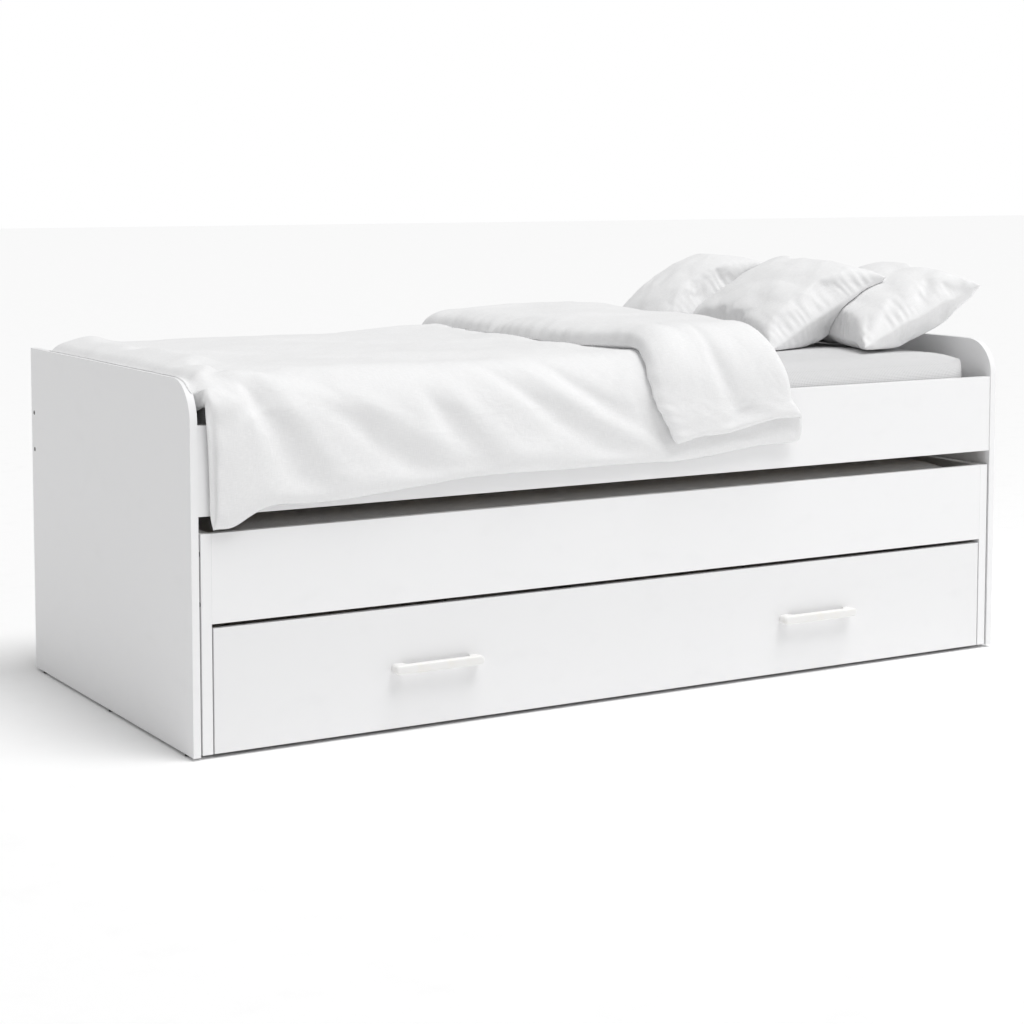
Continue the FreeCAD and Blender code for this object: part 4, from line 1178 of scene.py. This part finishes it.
@dataclass
class Pillow:
    """A feather pillow: two panels sewn all round, plump in the middle and pointed at the corners.

    The two corners are where the front end of its lower and of its upper seam lie.
    """

    node: str
    length: float
    width: float
    plump: float
    lower_corner: Vector
    upper_corner: Vector
    seed: float
    lies_on: tuple[str, ...] = ()
    seam: float = 0.003
    give: float = 0.012
    rows: int = 44
    columns: int = 54

    def build(self) -> None:
        """Sews, fills, bends and places the pillow."""
        piece = shell(
            f"{self.node}_case",
            self._flat,
            self._filling,
            self.width,
            self.length,
            self.rows,
            self.columns,
            PILLOW_COTTON,
        )
        Settling(
            pressure=4.0, gravity=0.0, frames=20, tension=16.0, bending=0.15, mass=0.3, limit=0.022
        ).run(piece)
        self._pose(piece)
        subdivided(piece, 1)
        emboss(piece, self._gathers)
        self._rest(piece)
        for neighbour in self.lies_on:
            give_way(piece, neighbour, UP * 2 - ALONG)
        subdivided(piece, 1)
        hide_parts(self.node)
        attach(piece, "bed_frame")
        LOG.info("%s: %.2f by %.2f m", piece.name, self.length, self.width)

    def _flat(self, s: float, t: float) -> Vector:
        """The empty case, lying flat about its own middle."""
        u, v = 2 * s - 1, 2 * t - 1
        draw_u = 1 - 0.035 * (1 - v * v)
        draw_v = 1 - 0.030 * (1 - u * u)
        ripple = 0.004 * wander(u * 2, v * 2, self.seed, 1.7)
        return Vector((u * draw_u * self.width / 2, v * draw_v * self.length / 2, ripple))

    def _filling(self, s: float, t: float) -> float:
        """How far the two panels stand apart."""
        u, v = 2 * s - 1, 2 * t - 1
        dome = (max(0.0, 1 - u ** 2) * max(0.0, 1 - v ** 2)) ** 0.5
        creases = 1 + 0.08 * wander(u * 1.6, v * 1.6, self.seed + 5, 2.2)
        return self.plump * dome * creases + self.seam

    def _gathers(self, along: float, across: float) -> float:
        """Short puckers that run in from the seam, and a few long pulled creases.

        Args:
            along: distance along the flat case; the underside's starts at twice its width.
            across: distance across it.

        Returns:
            The lift, in metres.
        """
        along = along % (2 * self.width)
        edges = (along, self.width - along, across, self.length - across)
        total = 0.0
        for k, edge in enumerate(edges):
            place = across if k < 2 else along
            jitter = 2.2 * wander(place, edge * 0.3, self.seed + k * 3, 16.0)
            reach = 0.045 + 0.03 * wander(place, 0.0, self.seed + 9 + k, 20.0)
            uneven = wander(place, 0.0, self.seed + 31 + k, 13.0)
            depth = 0.0003 + 0.0017 * smooth(-0.25, 0.55, uneven)
            fade = math.exp(-(edge / reach) ** 2)
            total += math.sin(place * 250 + jitter * 4) * depth * fade * smooth(0, 0.008, edge)
        pulls = wander(along * 0.5 + across, across * 0.4 - along, self.seed + 21, 9.0) * 0.0016
        return total + pulls + wander(along, across, self.seed + 2, 28.0) * 0.0008

    def _pose(self, piece: bpy.types.Object) -> None:
        """Leans the pillow so that its two front corners lie where they should."""
        points = [vertex.co for vertex in piece.data.vertices]
        low = min(points, key=lambda p: p.x + p.y)
        high = min(points, key=lambda p: p.y - p.x)
        up = (self.upper_corner - self.lower_corner).normalized()
        across = -FORWARDS
        across = (across - up * across.dot(up)).normalized()
        basis = Matrix((up, across, up.cross(across))).transposed().to_4x4()
        middle = (self.lower_corner + self.upper_corner) / 2
        local = (low + high) / 2
        piece.data.transform(Matrix.Translation(middle) @ basis @ Matrix.Translation(-local))

    def _rest(self, piece: bpy.types.Object) -> None:
        """Flattens the underside where it lies on the mattress and over the head panel."""
        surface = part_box("bed_mattress")[1].z + 8 * MILLIMETRE
        panel_low, panel_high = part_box("head_end_panel")
        for vertex in piece.data.vertices:
            near_panel = smooth(panel_low.x - 0.03, panel_low.x - 0.004, vertex.co.x)
            floor = mixed(surface, panel_high.z + 2 * MILLIMETRE, near_panel)
            depth = vertex.co.z - floor
            if depth < self.give:
                vertex.co.z = floor + self.give * math.exp((depth - self.give) / self.give)


# ------------------------------ carried-over parts


@dataclass
class Woodwork:
    """Every board, slat, fitting and castor of the frame, in its own finish."""

    special: dict[str, Finish] = field(default_factory=lambda: {"drawer_battens": DRAWER_BATTEN_WOOD})

    def dress(self) -> None:
        """Gives each carried-over part its finish."""
        for part in frame["record"]["subparts"]:
            name = part["node"]
            finish = self.special.get(name, FINISH_OF_SLOT[part["material_slot"]])
            piece = frame["nodes"][name]
            for slot in piece.material_slots:
                slot.material = finish.material()
            if not piece.material_slots:
                piece.data.materials.append(finish.material())
        LOG.info("woodwork: %d parts dressed", len(frame["nodes"]))


# ------------------------------ studio


@dataclass
class Studio:
    """A pale floor, soft light from the front and right, and the camera.

    Angles are in degrees; back_off is the camera's place from the foot panel's front corner.
    """

    floor_half: float = 40.0
    lens: float = 78.0
    back_off: Vector = field(default_factory=lambda: Vector((-1.630, -3.966, 1.144)))
    heading: float = 30.66
    dip: float = 4.79
    rise: float = -0.15
    sun_strength: float = 2.03
    sun_from: Vector = field(default_factory=lambda: Vector((0.18, -0.29, 0.94)))
    sun_angle: float = 35.0
    lamp_power: float = 17.0
    lamp_size: float = 2.4
    sky: float = 0.41

    def build(self) -> None:
        """Makes floor, lights and camera."""
        self._floor()
        self._lights()
        self._camera()

    def _floor(self) -> None:
        """A broad pale floor."""
        mesh = bmesh.new()
        bmesh.ops.create_grid(mesh, x_segments=8, y_segments=8, size=self.floor_half)
        floor = add_piece("studio_floor", stored(mesh, "studio_floor"), FLOOR_PAINT)
        floor.location.z = -MILLIMETRE / 2

    def _lights(self) -> None:
        """An even sky, one broad sun and a large lamp beyond the head end."""
        world = bpy.data.worlds.new("studio")
        bpy.context.scene.world = world
        world.use_nodes = True
        sheet = NodeSheet(world.node_tree)
        seen = sheet.node("ShaderNodeLightPath", {}, {}, "Is Camera Ray")
        level = self.sky + (1.0 - self.sky) * seen
        white = (1.0, 1.0, 1.0, 1.0)
        glow = sheet.node("ShaderNodeBackground", {}, {"Color": white, "Strength": level})
        sheet.node("ShaderNodeOutputWorld", {}, {"Surface": glow})
        lamp = bpy.data.lights.new("sun", "SUN")
        lamp.energy = self.sun_strength
        lamp.angle = math.radians(self.sun_angle)
        self._hang_lamp(lamp, Vector((0, 0, 3)), self.sun_from)
        low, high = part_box("head_end_panel")
        panel = bpy.data.lights.new("side_lamp", "AREA")
        panel.energy = self.lamp_power
        panel.size = self.lamp_size
        spot = Vector((high.x + 2.1, low.y - 2.2, 1.5))
        self._hang_lamp(panel, spot, spot - Vector((high.x * 0.5, low.y, 0.4)))

    def _hang_lamp(self, lamp: bpy.types.Light, spot: Vector, towards_lamp: Vector) -> None:
        """Hangs a light so that it shines from a direction."""
        holder = placed(lamp.name, lamp)
        holder.location = spot
        holder.rotation_mode = "QUATERNION"
        holder.rotation_quaternion = towards_lamp.to_track_quat("Z", "Y")
        holder.visible_camera = False

    def _camera(self) -> None:
        """A camera at the front and foot end, looking along the bed."""
        low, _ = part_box("foot_end_panel")
        data = bpy.data.cameras.new("camera")
        data.lens = self.lens
        data.shift_y = self.rise
        camera = placed("camera", data)
        camera.location = Vector((low.x, low.y, 0)) + self.back_off
        camera.rotation_euler = (math.radians(90 - self.dip), 0, math.radians(-self.heading))
        bpy.context.scene.camera = camera
        bpy.context.scene.view_settings.view_transform = "Standard"


def main() -> None:
    """Builds the studio and dresses the bed."""
    logging.basicConfig(level=logging.INFO, format="%(message)s")
    Studio().build()
    Woodwork().dress()
    Mattress("bed_mattress", "bed_frame").build()
    Mattress("trundle_mattress", "trundle", seed=6.0).build()
    Duvet().build()
    Pillow(
        "pillow_far",
        length=0.31,
        width=0.40,
        plump=0.120,
        lower_corner=Vector((0.540, 0.180, 0.730)),
        upper_corner=Vector((0.830, 0.180, 0.893)),
        seed=8.0,
    ).build()
    Pillow(
        "pillow_head",
        length=0.44,
        width=0.374,
        plump=0.112,
        lower_corner=Vector((0.722, -0.345, 0.727)),
        upper_corner=Vector((1.051, -0.388, 0.874)),
        seed=3.0,
    ).build()
    Pillow(
        "pillow_near",
        length=0.46,
        width=0.40,
        plump=0.125,
        lower_corner=Vector((0.560, -0.215, 0.722)),
        upper_corner=Vector((0.864, -0.240, 0.885)),
        seed=5.0,
        lies_on=("pillow_far_case", "pillow_head_case"),
    ).build()


if __name__ == "__main__":
    main()
